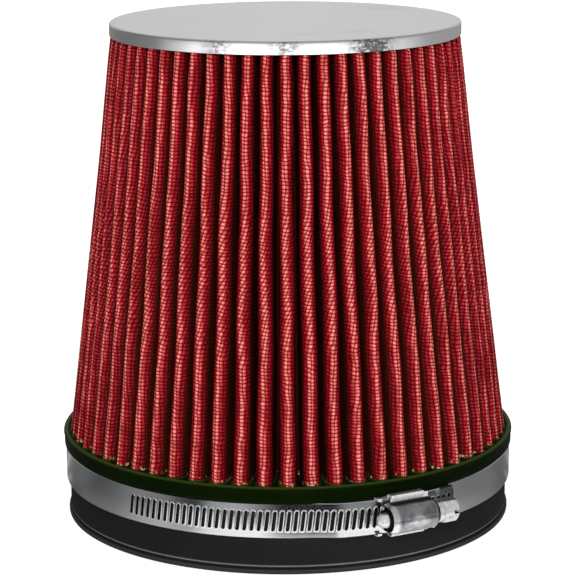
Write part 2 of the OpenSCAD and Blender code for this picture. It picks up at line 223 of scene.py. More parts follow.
class StageSettings(bpy.types.PropertyGroup):
    """Light, floor and camera."""

    lens: FloatProperty(name="Lens", description="Focal length on a 36 mm sensor", default=149.0, unit="CAMERA")
    distance: length("Distance", "How far the camera stands in front of the axis", 882.9)
    height: length("Height", "Height of the camera above the floor", 288.2)
    tilt: angle("Tilt", "How far the camera looks down", 12.984)
    roll: angle("Roll", "Roll of the camera", -0.35)
    pan: angle("Pan", "Turn of the camera", -0.029)
    front: power("Front light", "Power of the wide front light", 3.5)
    key: power("Key light", "Power of the narrow key light", 14.5)
    above: power("Top light", "Power of the light above", 6.0)
    behind: power("Back lights", "Power of each light behind", 5.0)
    fill: FloatProperty(name="Fill", description="Strength of the light from all round", default=0.22)


# ---- Node trees ----


def maths(operation):
    """Two methods that add a Math node: with the value first, and reflected, with it second."""
    return (
        lambda value, *others: value.graph.calc(operation, value, *others),
        lambda value, other: value.graph.calc(operation, other, value),
    )


class Value:
    """An output in a node tree. Sums on it add Math nodes to that tree."""

    def __init__(self, graph, socket):
        self.graph, self.socket = graph, socket

    def __neg__(self):
        return self * -1.0

    __add__, __radd__ = maths("ADD")
    __sub__, __rsub__ = maths("SUBTRACT")
    __mul__, __rmul__ = maths("MULTIPLY")
    __truediv__, __rtruediv__ = maths("DIVIDE")
    __pow__, __rpow__ = maths("POWER")
    __abs__ = maths("ABSOLUTE")[0]
    __round__ = maths("ROUND")[0]


class Graph:
    """Adds nodes to one tree, by type, sockets and settings."""

    def __init__(self, tree):
        self.tree = tree
        tree.nodes.clear()

    def node(self, kind, sockets=None, out=None, **settings):
        """Adds a node of any kind. It gives the output named out, or else the first, or the node if it has none."""
        made = self.tree.nodes.new(kind)
        for i, (place, shade) in enumerate(settings.pop("stops", ())):
            elements = made.color_ramp.elements
            stop = elements[i] if i < 2 else elements.new(place)
            stop.position, stop.color = place, (*shade, 1.0)
        for name, value in settings.items():
            setattr(made, name, value)
        for key, value in (sockets or {}).items():
            self.feed(made, key, value)
        shown = [s for s in made.outputs if s.enabled and (out is None or s.name == out)]
        return Value(self, shown[0]) if shown else made

    def feed(self, made, key, value):
        """Links a value to a socket, or sets the socket to a constant."""
        socket = made.inputs[key] if isinstance(key, int) else next(
            s for s in made.inputs if s.name == key and s.enabled
        )
        if isinstance(value, Value):
            self.tree.links.new(value.socket, socket)
        elif socket.type == "RGBA":
            socket.default_value = (*value[:3], 1.0)
        else:
            socket.default_value = value

    def calc(self, operation, *values):
        return self.node("ShaderNodeMath", dict(enumerate(values)), operation=operation)

    def least(self, a, b):
        return self.calc("MINIMUM", a, b)

    def most(self, a, b):
        return self.calc("MAXIMUM", a, b)

    def sine(self, value):
        return self.calc("SINE", value)

    def cosine(self, value):
        return self.calc("COSINE", value)

    def fade(self, value):
        """1 at zero, and towards 0 above it."""
        return self.calc("EXPONENT", -value)

    def reach(self, x, y):
        """Distance from an axis."""
        return self.calc("SQRT", self.most(x * x + y * y, 0.0))

    def step(self, value, low, high):
        """0 below low, 1 above high, smooth between."""
        ends = {"Value": value, "From Min": low, "From Max": high}
        return self.node("ShaderNodeMapRange", ends, interpolation_type="SMOOTHSTEP")

    def fall(self, value, low, high):
        """1 below low, 0 above high, smooth between."""
        return 1 - self.step(value, low, high)

    def between(self, value, low, inner_low, inner_high, high):
        """0 outside low and high, 1 inside the inner two, smooth between."""
        return self.step(value, low, inner_low) * self.fall(value, inner_high, high)

    def parts(self, vector):
        made = self.node("ShaderNodeSeparateXYZ", {"Vector": vector}).socket.node
        return [Value(self, s) for s in made.outputs]

    def vector(self, x, y, z):
        return self.node("ShaderNodeCombineXYZ", {"X": x, "Y": y, "Z": z})

    def place(self, out="Object"):
        """Where a point is: in metres from the origin, unless another output is asked for."""
        return self.node("ShaderNodeTexCoord", out=out)

    def xyz(self):
        """A point's place in metres, as three values."""
        return self.parts(self.place())

    def turn(self, vector):
        """Angle round the axis, from the front towards the right."""
        x, y, _ = self.parts(vector)
        return self.calc("ARCTAN2", x, -y)

    def mix(self, share, a, b):
        return self.node("ShaderNodeMix", {"Factor": share, "A": a, "B": b}, data_type="RGBA")

    def noise(self, vector, scale=1.0, detail=2.0, roughness=0.5):
        sockets = {"Vector": vector, "Scale": scale, "Detail": detail, "Roughness": roughness}
        return self.node("ShaderNodeTexNoise", sockets)

    def grain(self, scale, *looks):
        """Noise over the surface. Three scales stretch it."""
        if not isinstance(scale, tuple):
            return self.noise(self.place(), scale, *looks)
        stretched = self.node("ShaderNodeVectorMath", {0: self.place(), 1: scale}, operation="MULTIPLY")
        return self.noise(stretched, 1.0, *looks)

    def bump(self, height, distance, strength, **over):
        return self.node("ShaderNodeBump", {"Height": height, "Distance": distance, "Strength": strength, **over})

    def rays(self):
        """Whether the camera looks on, and whether metal mirrors it."""
        path = self.node("ShaderNodeLightPath").socket.node
        return [Value(self, path.outputs[name]) for name in ("Is Camera Ray", "Is Glossy Ray")]


class Surface(Graph):
    """The nodes of a new material."""

    def __init__(self, name):
        self.material = bpy.data.materials.new(name)
        self.material.use_nodes = True
        super().__init__(self.material.node_tree)

    def output(self, shader):
        """Ends the material in a shader."""
        self.node("ShaderNodeOutputMaterial", {"Surface": shader})
        return self.material

    def principled(self, **sockets):
        """Ends the material in a Principled shader, whose sockets are named with _ for a space."""
        named = {key.replace("_", " "): value for key, value in sockets.items()}
        return self.output(self.node("ShaderNodeBsdfPrincipled", named))


class Tree:
    """A Geometry Nodes tree with an input for each of the named values, besides a geometry and a material."""

    def __init__(self, name, values):
        self.values = values
        self.group = bpy.data.node_groups.new(name, "GeometryNodeTree")
        face = self.group.interface
        face.new_socket("Geometry", in_out="OUTPUT", socket_type="NodeSocketGeometry")
        kinds = {label: type(value).__name__.capitalize() for label, value in values.items()}
        self.identifiers = {
            label: face.new_socket(label, in_out="INPUT", socket_type="NodeSocket" + kind).identifier
            for label, kind in {"Geometry": "Geometry", **kinds, "Material": "Material"}.items()
        }
        self.graph = Graph(self.group)
        start = self.group.nodes.new("NodeGroupInput")
        self.base, *self.inputs, self.material = (
            Value(self.graph, start.outputs[label]) for label in self.identifiers
        )

    def end(self, geometry):
        """Ends the tree in Realize Instances and Set Material."""
        real = self.graph.node("GeometryNodeRealizeInstances", {"Geometry": geometry})
        done = self.graph.node("GeometryNodeSetMaterial", {"Geometry": real, "Material": self.material})
        self.graph.node("NodeGroupOutput", {"Geometry": done})
        return self

    def grow(self, name, base, material):
        """Runs the tree on a base mesh and returns the result as a plain object."""
        seedling = show(name + "_seedling", base)
        modifier = seedling.modifiers.new(name, "NODES")
        modifier.node_group = self.group
        for label, value in {**self.values, "Material": material}.items():
            modifier[self.identifiers[label]] = value
        mesh = evaluated(seedling, preserve_all_data_layers=True)
        bpy.data.objects.remove(seedling)
        mesh.name = name
        return show(name, mesh)


# ---- Meshes ----


def show(name, data):
    """A new object in the scene, from a mesh, a lamp or a camera."""
    made = bpy.data.objects.new(name, data)
    bpy.context.scene.collection.objects.link(made)
    return made


def mesh_of(name, points, faces):
    mesh = bpy.data.meshes.new(name)
    mesh.from_pydata([tuple(map(float, p)) for p in points], [], faces)
    mesh.validate()
    return mesh


def tidy(mesh, merge=1e-6, sliver=0.0):
    """Merges doubles, drops slivers and turns every face outwards."""
    work = bmesh.new()
    work.from_mesh(mesh)
    bmesh.ops.remove_doubles(work, verts=work.verts, dist=merge)
    if sliver:
        bmesh.ops.dissolve_degenerate(work, dist=sliver, edges=work.edges)
    bmesh.ops.recalc_face_normals(work, faces=work.faces)
    work.to_mesh(mesh)
    work.free()


def evaluated(made, **options):
    """A new mesh with the object's modifiers applied."""
    depsgraph = bpy.context.evaluated_depsgraph_get()
    return bpy.data.meshes.new_from_object(made.evaluated_get(depsgraph), depsgraph=depsgraph, **options)


def settle(made):
    """Applies an object's modifiers to its mesh."""
    old, mesh = made.data, evaluated(made)
    made.modifiers.clear()
    made.data = mesh
    bpy.data.meshes.remove(old)


def joined(name, parts):
    """One object from several, with their meshes together."""
    work = bmesh.new()
    for part in parts:
        work.from_mesh(part.data)
        bpy.data.objects.remove(part)
    mesh = bpy.data.meshes.new(name)
    work.to_mesh(mesh)
    work.free()
    return show(name, mesh)


def dress(made, sharp, body, material=None, replaces=()):
    """Gives a finished piece its shading, with edges above sharp degrees crisp, material and body."""
    made.data.shade_smooth()
    made.data.set_sharp_from_angle(angle=math.radians(sharp))
    if material is not None:
        made.data.materials.clear()
        made.data.materials.append(material)
    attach(made, body)
    if replaces:
        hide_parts(*replaces)


def arc(cx, cy, r, degrees):
    """Points (x, y) on a circle, at the angles."""
    return [(cx + r * math.cos(math.radians(a)), cy + r * math.sin(math.radians(a))) for a in degrees]


def filleted(corners, radii, steps):
    """A closed outline whose corners are rounded, each by its own radius."""
    out = []
    count = len(corners)
    for i, (corner, radius) in enumerate(zip(corners, radii)):
        here = np.array(corner, float)
        before, after = np.array(corners[i - 1], float), np.array(corners[(i + 1) % count], float)
        if radius <= 0:
            out.append(here)
            continue
        a, b = (before - here), (after - here)
        la, lb = np.linalg.norm(a), np.linalg.norm(b)
        a, b = a / la, b / lb
        half = math.acos(max(-1.0, min(1.0, float(a @ b)))) / 2
        reach = min(radius / math.tan(half), 0.49 * la, 0.49 * lb)
        radius = reach * math.tan(half)
        centre = here + (a + b) / np.linalg.norm(a + b) * (radius / math.sin(half))
        first, last = here + a * reach - centre, here + b * reach - centre
        sweep = math.atan2(first[0] * last[1] - first[1] * last[0], float(first @ last))
        for k in range(steps + 1):
            turn = sweep * k / steps
            c, s = math.cos(turn), math.sin(turn)
            out.append(centre + np.array([c * first[0] - s * first[1], s * first[0] + c * first[1]]))
    return out


def spin(name, outlines, start=0.0):
    """Joins closed outlines of (radius, height) that stand round the axis at equal steps."""
    steps, count = len(outlines), len(outlines[0])
    points, faces = [], []
    for j, outline in enumerate(outlines):
        turn, k = TURN * j / steps + start, (j + 1) % steps
        for i, (r, z) in enumerate(outline):
            n = (i + 1) % count
            points.append((r * math.cos(turn), r * math.sin(turn), z))
            faces.append((j * count + i, k * count + i, k * count + n, j * count + n))
    return mesh_of(name, points, faces)


def lathe(name, outline, segments):
    """Spins a closed outline of (radius, height) round the axis, as an object."""
    mesh = spin(name, [outline] * segments)
    tidy(mesh, 1e-7, 1e-8)
    return show(name, mesh)


def grid_faces(rows, columns, wrap=False):
    """Quads over rows of points. With wrap, the end of each row joins its start."""
    faces = []
    for i in range(rows - 1):
        for j in range(columns if wrap else columns - 1):
            k = (j + 1) % columns
            faces.append((i * columns + j, i * columns + k, (i + 1) * columns + k, (i + 1) * columns + j))
    return faces


def to_head(mesh):
    """Moves a mesh from the clamp's own axes, X outwards and Y along the screw, to its place."""
    mesh.transform(Matrix.Rotation(HEAD_TURN, 4, "Z"))


# ---- Pleated pack ----

# Room that the crests leave for the cap's sheet
CAP_SHEET = 0.6 * MM
# Where the crests' belly starts, and the height over which it grows
BELLY_START, BELLY_RISE = 0.132, 0.045
# How far above the cap's edge the belly is gone, and the height over which it goes
BELLY_END, BELLY_DROP = 0.2 * MM, 1.2 * MM
# Two rows of points more for that, from the cap's edge
BELLY_ROWS = (-0.9 * MM, 0.3 * MM)
# Angles of the points round a crest, and their places along a pleat's side: few, and more where it shows
CREST_TURNS = ((0, 40, 80), (0, 24, 46, 66, 84))
SIDE_SHARES = ((0.3, 0.7), (0.12, 0.3, 0.6, 0.94))
# The gauze's two faces, from the outer face of the pack
GAUZE_FACES = (0.43 * MM, 1.06 * MM)
# Heights over which the crests' slow and quick wander repeat, and over which it dies out at the ends
SLOW_WANDER, QUICK_WANDER, STILL_ENDS = 0.066, 0.027, 0.018


def share_of_pack(z):
    """0 at the ring, 1 at the cap."""
    return (z - RING_HIGH.z) / (CAP_LOW.z - RING_HIGH.z)


def crest_radius(pack, z):
    """Outside radius of the crests at a height."""
    low = RING_HIGH.x - pack.margin
    high = CAP_HIGH.x - CAP_SHEET - pack.gap_under_cap
    rise = min(max((z - BELLY_START) / BELLY_RISE, 0.0), 1.0)
    drop = min(max((CAP_LOW.z + BELLY_END - z) / BELLY_DROP, 0.0), 1.0)
    return low + (high - low) * share_of_pack(z) + pack.belly * rise * rise * (3 - 2 * rise) * drop


def pleat_half(pack, z, inset, fine):
    """Points (radius, sideways) of half a pleat, from the crest's middle to the groove's."""
    half = (pack.crest_low + (pack.crest_high - pack.crest_low) * share_of_pack(z)) / 2 - inset
    top = crest_radius(pack, z) - inset
    bottom = crest_radius(pack, z) - pack.depth - inset
    drop = pack.taper * half
    points = [
        (top - drop * (1 - math.cos(math.radians(t))), half * math.sin(math.radians(t)))
        for t in CREST_TURNS[fine]
    ]
    step = math.pi / pack.pleats
    c, s = math.cos(step), math.sin(step)
    side = pack.groove / 2 + inset
    corner, middle = np.array([bottom * c + side * s, bottom * s - side * c]), np.array([bottom * c, bottom * s])
    shoulder = np.array(points[-1])
    points += [tuple(shoulder + (corner - shoulder) * share) for share in SIDE_SHARES[fine]]
    return [*points, tuple(corner + (middle - corner) * 0.35), tuple(middle)]


def pleat_mesh(pack, outer, inner, rows, fine):
    """One pleat of a sheet, with its weave map and how far each point is from the groove."""
    heights = np.linspace(PACK_LOW.z, PACK_HIGH.z, rows)
    heights = np.sort(np.append(heights, [CAP_LOW.z + above for above in BELLY_ROWS]))
    points, woven, rises = [], [], []
    for inset in (outer, inner):
        for z in heights:
            half = pleat_half(pack, z, inset, fine)
            lengths = [0.0]
            for a, b in zip(half, half[1:]):
                lengths.append(lengths[-1] + math.hypot(b[0] - a[0], b[1] - a[1]))
            right = [(r, side, s) for (r, side), s in zip(half, lengths)]
            for r, side, s in [(r, -side, -s) for r, side, s in right][:0:-1] + right:
                points.append((r, side, z))
                woven.append((s / pack.mesh_wide, z / pack.mesh))
                rises.append(max(0.0, 1 - abs(s) / lengths[-1]))
    count, columns = len(heights), 2 * len(half) - 1
    wall = grid_faces(count, columns)
    shift, top = count * columns, (count - 1) * columns
    faces = wall + [tuple(v + shift for v in reversed(f)) for f in wall]
    for j in range(columns - 1):
        faces.append((j + 1, j, j + shift, j + 1 + shift))
        faces.append((top + j, top + j + 1, top + j + 1 + shift, top + j + shift))
    mesh = mesh_of("one_pleat", points, faces)
    layer = mesh.uv_layers.new(name="weave")
    for loop in mesh.loops:
        layer.data[loop.index].uv = woven[loop.vertex_index]
    mesh.attributes.new("rise", "FLOAT", "POINT").data.foreach_set("value", rises)
    return mesh


def pack_tree(pack):
    """Sets one pleat round the axis, as often as there are pleats, and lets the crests wander."""
    values = {"Pleats": pack.pleats, "Seed": pack.seed, "Wave": pack.wave, "Low": RING_HIGH.z, "High": CAP_LOW.z}
    tree = Tree("Pleated Pack", values)
    g, (pleats, seed, wave, low, high) = tree.graph, tree.inputs
    index = g.node("GeometryNodeInputIndex")
    turn = index * TURN / pleats - math.pi / 2
    spots = g.node("GeometryNodePoints", {"Count": pleats, "Radius": MM})
    ring = g.node(
        "GeometryNodeInstanceOnPoints",
        {"Points": spots, "Instance": tree.base, "Rotation": g.vector(0.0, 0.0, turn)},
    )
    named = g.node(
        "GeometryNodeStoreNamedAttribute",
        {"Geometry": ring, "Name": "pleat", "Value": index},
        data_type="FLOAT",
        domain="INSTANCE",
    )
    real = g.node("GeometryNodeRealizeInstances", {"Geometry": named})
    whole = g.node("GeometryNodeMergeByDistance", {"Geometry": real, "Distance": 2e-6})
    pleat, rise = (
        g.node("GeometryNodeInputNamedAttribute", {"Name": name}, data_type="FLOAT") for name in ("pleat", "rise")
    )
    x, y, z = g.parts(g.node("GeometryNodeInputPosition"))

    def wander(height, extra):
        sockets = {"Min": 0.0, "Max": TURN, "ID": pleat, "Seed": seed + extra}
        chance = g.node("FunctionNodeRandomValue", sockets, data_type="FLOAT")
        return g.sine(z * (TURN / height) + chance)

    ends = g.between(z, low, low + STILL_ENDS, high - STILL_ENDS, high)
    side = (wander(SLOW_WANDER, 0) * 0.86 + wander(QUICK_WANDER, 7) * 0.14) * wave * ends * (rise ** 1.5)
    radius = g.reach(x, y)
    offset = g.vector(-(y / radius * side), x / radius * side, 0.0)
    return tree.end(g.node("GeometryNodeSetPosition", {"Geometry": whole, "Offset": offset}))


def weave(g):
    """The woven wires on the weave map: their height from 0 to 1, the cells from the crest, a chance per cell."""
    u, v, _ = g.parts(g.node("ShaderNodeUVMap", uv_map="weave"))
    slide, sag, jolt = (g.grain(scale, 1.0) - 0.5 for scale in ((34.0, 34.0, 19.0), 45.0, 170.0))
    # The mesh was pulled askew in the middle of its height when it was pleated
    askew = g.step(g.xyz()[2], 0.072, 0.138) * 13.0
    across = u + slide * 6.0 + jolt * 1.1 - askew
    along = v + sag * 3.0 + jolt * 1.3 + u * 0.12
    cell = g.vector(round(across), round(along), 0.0)
    chance = g.node("ShaderNodeTexWhiteNoise", {"Vector": cell}, "Value", noise_dimensions="3D")
    rows = g.step(g.cosine(along * TURN), -0.95, 0.45)
    columns = g.step(g.cosine(across * TURN), -0.95, 0.3)
    return (0.12 + rows * 0.88) * (0.16 + columns * 0.84), u, chance


def red_screen_finish(pack):
    g = Surface("red_wire_screen")
    height, u, chance = weave(g)
    # How far a point lies from the crest, and from the wandering line of the painted highlight along it
    across = u * (pack.mesh_wide / MM)
    sway = g.grain((90.0, 90.0, 42.0), 1.0) - 0.5
    highlight_map = abs(across + sway * 3.2)
    tone = g.least(height * (0.6 + chance * 0.7), 1.0)
    # Painted highlight along the crest; painted shade on the flanks, and between the wires away from the crest
    red = g.mix(g.step(highlight_map, 0.3, 1.5), pack.worn, pack.wire)
    red = g.mix(g.step(highlight_map, 1.3, 2.8), red, pack.flank)
    gap = g.mix(g.step(highlight_map, 0.4, 2.2), pack.shade, scaled(pack.shade, 0.4))
    # Painted shade deep in the grooves
    groove_shade = g.step(abs(across), 2.4, 5.0) * 0.88
    # Frayed gauze shows in places where the resin ends
    fray = g.step(g.grain((900.0, 900.0, 700.0)), 0.56, 0.66)
    foot = g.fall(g.xyz()[2], RING_HIGH.z + 0.9 * MM, RING_HIGH.z + 2.0 * MM) * fray
    cloth = g.mix(groove_shade, g.mix(tone, gap, red), pack.groove_dark)
    buckle = g.bump(g.grain((150.0, 150.0, 60.0)), 1.6 * MM, 0.5)
    return g.principled(
        Base_Color=g.mix(foot * 0.8, cloth, linear(196, 186, 140)),
        Roughness=0.72 - 0.25 * tone,
        Coat_Weight=tone * tone * (1 - groove_shade) * 0.35,
        Normal=g.bump(height, 0.1 * MM, 0.7, Normal=buckle),
        Specular_IOR_Level=0.08,
        Coat_Roughness=0.34,
        Coat_IOR=1.55,
    )


def gauze_finish(pack):
    g = Surface("oiled_cotton")
    fibre = g.grain(900.0, 3.0)
    return g.principled(
        Base_Color=g.mix(fibre, pack.shade, linear(120, 16, 20)),
        Roughness=0.75 + fibre * 0.15,
        Normal=g.bump(weave(g)[0] * 0.4 + fibre, 0.15 * MM, 0.6),
    )


def bare_screen_finish():
    g = Surface("bare_wire_screen")
    height = weave(g)[0]
    tone = g.step(height, 0.1, 0.8)
    dirt = g.grain(80.0, 3.0)
    wire = g.mix(dirt, linear(150, 148, 146), linear(206, 206, 208))
    return g.principled(
        Base_Color=g.mix(tone, linear(96, 34, 34), wire),
        Metallic=tone * 0.9,
        Roughness=0.45 - tone * 0.12 + dirt * 0.1,
        Normal=g.bump(height, 0.3 * MM, 0.9),
    )


# ---- Finishes of the other pieces ----

# Smudges on the cap's skirt: angle from the front, width and strength
SMUDGES = ((-0.37, 0.07, 0.9), (0.0, 0.085, 0.95), (0.48, 0.1, 2.6), (2.3, 0.1, 0.8))
# Near-black of the painted shade on the clamp's head and the screw
SHADE_BLACK = linear(8, 8, 9)


def polished_cap_finish(cap):
    g = Surface("polished_cap")
    place = g.place()
    x, y, z = g.parts(place)
    turn, radius = g.turn(place), g.reach(x, y)
    rings = g.noise(g.vector(radius * 900, z * 900, turn * 0.4))
    cloud = g.grain(38.0, 3.0)
    scuff = g.noise(g.vector(turn * 30, z * 820, radius * 30), 1.0, 4.0, 0.75)
    skirt = g.step(radius, CAP_HIGH.x - 0.35 * MM, CAP_HIGH.x - 0.1 * MM)
    spots = 0.0
    for middle, width, strength in SMUDGES:
        off = (turn - middle) / width
        spots = g.fade(off * off) * strength + spots
    handled = g.least(skirt * spots * g.step(scuff, 0.34, 0.66), 1.0)
    fine = g.step(cloud, 0.55, 0.8) * 0.12
    return g.principled(
        Base_Color=g.mix(handled * 0.85 + fine, cap.metal, cap.mark),
        Roughness=0.13 + rings * 0.05 + cloud * 0.05 + handled * 0.25,
        Normal=g.bump(rings * 0.05 + scuff * handled * 0.07 + cloud * skirt * 0.5, 0.2 * MM, 0.35),
        Metallic=1.0,
    )


def resin_finish(ring):
    g = Surface("cast_resin")
    flow = g.grain(55.0, 4.0)
    pits = g.step(g.grain(620.0), 0.6, 0.75)
    rim = RING_HIGH.z + ring.lip
    # Painted highlight: the top of the bead is mixed towards a lighter olive
    edge = g.step(g.xyz()[2], rim - 0.9 * MM, rim) * 0.8
    green = g.mix(g.step(flow, 0.4, 0.75) * 0.5, ring.resin, scaled(ring.resin, 1.8, 0.001))
    return g.principled(
        Base_Color=g.mix(edge, green, linear(50, 62, 22)),
        Roughness=0.4 + flow * 0.2,
        Normal=g.bump(flow * 0.7 + pits * 0.25, 0.25 * MM, 0.5),
        Specular_IOR_Level=0.06,
        Specular_Tint=(0.4, 0.6, 0.15),
    )


def rubber_finish(neck):
    g = Surface("moulded_rubber")
    x, y, z = g.xyz()
    grain, cloud, dust = g.grain(1500.0), g.grain(30.0, 4.0), g.grain(260.0, 5.0, 0.7)
    seam = g.fade((abs(x) / (0.25 * MM)) ** 2) * g.step(y, -0.01, 0.01)
    # The edge above the groove is lightened as a painted highlight, and the lip is paler too
    off = (z - (neck.lip + neck.groove + 0.2 * MM)) / (0.32 * MM)
    outside = g.step(g.reach(x, y), BORE_R + 0.8 * neck.wall, BORE_R + neck.wall)
    edge = g.fade(off * off) * (0.5 + 0.6 * cloud) * outside
    lip = g.between(z, 0.3 * MM, 0.8 * MM, neck.lip - 0.3 * MM, neck.lip) * (0.2 + 0.5 * cloud)
    pale = g.step(cloud, 0.4, 0.8) * 0.4 + g.step(dust, 0.62, 0.8) * 0.35
    rubber = g.mix(lip, g.mix(pale, neck.rubber, scaled(neck.rubber, 1.9, 0.004)), linear(66, 66, 67))
    return g.principled(
        Base_Color=g.mix(edge, rubber, linear(150, 150, 151)),
        Roughness=0.36 + cloud * 0.16 + dust * 0.08,
        Normal=g.bump(grain * 0.25 + seam * 0.8, 0.12 * MM, 0.5),
        Specular_IOR_Level=0.07,
    )


def flat_radius(clamp):
    """Radius at which the flat strip keeps its length when it is rolled."""
    return clamp.upper_r + clamp.thick / 2


def strip_finish(clamp):
    g = Surface("rolled_strip")
    end = clamp.tail * flat_radius(clamp)
    along, across, _ = g.parts(g.node("ShaderNodeAttribute", out="Vector", attribute_name="strip"))
    lines = g.noise(g.vector(along * 60, across * 5200, 0.0), 1.0, 3.0, 0.6)
    cloud = g.noise(g.vector(along * 90, across * 260, 1.0), 1.0, 3.0)
    specks = g.noise(g.vector(along * 900, across * 900, 4.0))
    # The free end is darker and has a painted shadow along its outline, and painted shade lies in the lap beneath it
    tail = g.step(along, end - 9 * MM, end - 7 * MM)
    outline = tail * g.fall(g.least(end - along, BAND_HALF - abs(across)), 0.5 * MM, 0.9 * MM)
    lap = end - TURN * flat_radius(clamp)
    dark = g.least(outline * 0.95 + g.fall(along, lap - 0.6 * MM, lap - 0.2 * MM), 1.0)
    metal = g.mix(lines * 0.3 + g.step(specks, 0.62, 0.8) * 0.3, clamp.steel, scaled(clamp.steel, 0.72))
    metal = g.mix(tail * (0.7 + cloud * 0.3), metal, linear(92, 92, 97))
    return g.principled(
        Base_Color=g.mix(dark, metal, linear(10, 10, 11)),
        Metallic=1 - dark,
        Roughness=0.09 + lines * 0.06 + cloud * 0.08 + dark * 0.4 + tail * 0.08,
        Normal=g.bump(lines * 0.5 + cloud, 0.05 * MM, 0.35),
        Specular_IOR_Level=0.12,
    )


def at_head(g):
    """A point's place outwards and upwards from the screw's axis, and along it, then its shape's own normal."""
    x, y, z = g.xyz()
    c, s = math.cos(HEAD_TURN), math.sin(HEAD_TURN)
    return x * c + y * s - SCREW_R, z - BAND_MID, y * c - x * s, g.parts(g.place("Normal"))


def pressed_finish(clamp):
    g = Surface("pressed_steel")
    out, up, along, (nx, ny, nz) = at_head(g)
    reach, front, high = g.reach(out, up), along + clamp.housing_long / 2, abs(up)
    inward = -((nx * math.cos(HEAD_TURN) + ny * math.sin(HEAD_TURN)) * out + nz * up) / reach
    barrel = g.fall(reach, clamp.barrel + 0.15 * MM, clamp.barrel + 0.4 * MM)
    # Painted shade: black inside the barrel and before its mouth, in the creases beside the folds, by the folds'
    # front corners and on faces turned upwards
    mouth = g.fall(front, 0.1 * MM, 0.3 * MM) * g.fall(out, -0.4 * clamp.barrel, -0.3 * clamp.barrel)
    housing_shade = g.most(barrel * g.step(inward, 0.1, 0.4), mouth * g.fall(high, 5.6 * MM, 6.2 * MM))
    corner = g.step(high, 5.5 * MM, 5.8 * MM) * g.between(front, -0.4 * MM, -0.1 * MM, 2.7 * MM, 3.1 * MM)
    crease = barrel * g.step(high, 0.955 * clamp.barrel, 0.98 * clamp.barrel)
    dark = g.most(housing_shade, g.most(crease, g.most(corner, g.step(nz, 0.85, 0.97)) * 0.9))
    dents = g.grain(210.0, 3.0)
    lines = g.grain((900.0, 900.0, 5200.0), 3.0, 0.6)
    cloud = g.grain(480.0, 4.0, 0.6)
    blotch = g.step(g.grain(240.0, 3.0, 0.6), 0.35, 0.68)
    metal = g.mix(g.step(cloud, 0.5, 0.75) * 0.35, clamp.steel, scaled(clamp.steel, 0.6))
    # The barrel is darkened, with lighter blotches and painted shade below its middle; painted highlights are left
    # bright in its middle, by the point's mouth and along its lower edge
    highlight_map = g.fade((along / (4.2 * MM)) ** 2 + (up / (2.2 * MM)) ** 2) * blotch
    barrel_shading = 0.95 - blotch * 0.35 - highlight_map * 0.7 + g.step(-up, 1.2 * MM, 4.0 * MM) * 0.15
    barrel_shading = barrel_shading * g.step(front, 1.4 * MM, 2.8 * MM) * g.fall(-up, 0.78 * clamp.barrel, 0.84 * clamp.barrel)
    metal = g.mix(barrel * barrel_shading, metal, linear(126, 126, 129))
    return g.principled(
        Base_Color=g.mix(dark, metal, SHADE_BLACK),
        Metallic=(1 - dark) * (0.5 + barrel * 0.5),
        Roughness=0.2 + cloud * 0.14 + lines * 0.05 + dark * 0.4,
        Normal=g.bump(dents + lines * 0.08 + cloud * 0.2, 0.3 * MM, 0.5),
        Specular_IOR_Level=0.12,
    )


def plated_finish(screw, half, end):
    g = Surface("plated_screw")
    _, up, along, (_, _, nz) = at_head(g)
    floor, side = end - screw.slot_deep, screw.slot_wide / 2
    slot = g.step(along, floor - 0.2 * MM, floor) * g.fall(abs(up), side, side + 0.06 * MM)
    # Painted shade: the screw is black behind the point, where the collar leaves the barrel, in the driver's slot
    # and on faces turned upwards
    inside_shade = g.step(along + half, -0.9 * MM, -0.5 * MM) * g.fall(along - half, 1.1 * MM, 1.3 * MM)
    dark = g.most(slot, g.most(inside_shade, g.step(nz, 0.8, 0.95) * 0.9))
    cloud, fine = g.grain(420.0, 4.0, 0.6), g.grain(2600.0)
    dim = g.step(cloud, 0.45, 0.68) * g.step(along, 0, MM) * 0.6
    return g.principled(
        Base_Color=g.mix(dark, g.mix(dim, screw.steel, scaled(screw.steel, 0.4)), SHADE_BLACK),
        Metallic=(1 - dark) * 0.65,
        Roughness=0.18 + cloud * 0.18 + dark * 0.4,
        Normal=g.bump(cloud + fine * 0.3, 0.12 * MM, 0.5),
        Specular_IOR_Level=0.12,
    )


def potting_finish():
    g = Surface("cast_potting")
    flow = g.grain(70.0, 4.0)
    pits = g.step(g.grain(520.0), 0.6, 0.75)
    return g.principled(
        Base_Color=g.mix(flow, linear(20, 28, 16), linear(48, 54, 34)),
        Roughness=0.5 + flow * 0.2,
        Normal=g.bump(flow + pits * 0.4, 0.3 * MM, 0.5),
        Specular_IOR_Level=0.4,
    )


def clip_finish():
    g = Surface("crimped_clip")
    lines = g.grain((2400.0, 2400.0, 60.0), 3.0, 0.6)
    return g.principled(
        Base_Color=g.mix(g.grain(90.0, 3.0), linear(150, 150, 152), linear(202, 202, 204)),
        Roughness=0.3 + lines * 0.12,
        Normal=g.bump(lines, 0.05 * MM, 0.4),
        Metallic=1.0,
    )


# ---- Operators ----


class FILTER_OT_pack(bpy.types.Operator):
    """Build the pleated pack: outer screen, gauze and inner screen."""

    bl_idname = "filter.pack"
    bl_label = "Pleated Pack"

    def execute(self, context):
        pack = context.scene.filter_pack
        tree = pack_tree(pack)
        inner_faces = (pack.total - pack.screen, pack.total)
        # Each sheet: its names, its material, its two faces, its rows of points and whether it shows
        layers = (
            ("red_pleats", "outer_screen", "red_screen", red_screen_finish(pack), (0.0, pack.screen), 36, True),
            ("gauze_pleats", "cotton_gauze", "oiled_gauze", gauze_finish(pack), GAUZE_FACES, 18, False),
            ("inner_pleats", "inner_screen", "bare_screen", bare_screen_finish(), inner_faces, 24, False),
        )
        for name, node, slot, material, faces, rows, fine in layers:
            made = tree.grow(name, pleat_mesh(pack, *faces, rows, fine), material)
            dress(made, 60, "filter", replaces=(node,))
        return {"FINISHED"}


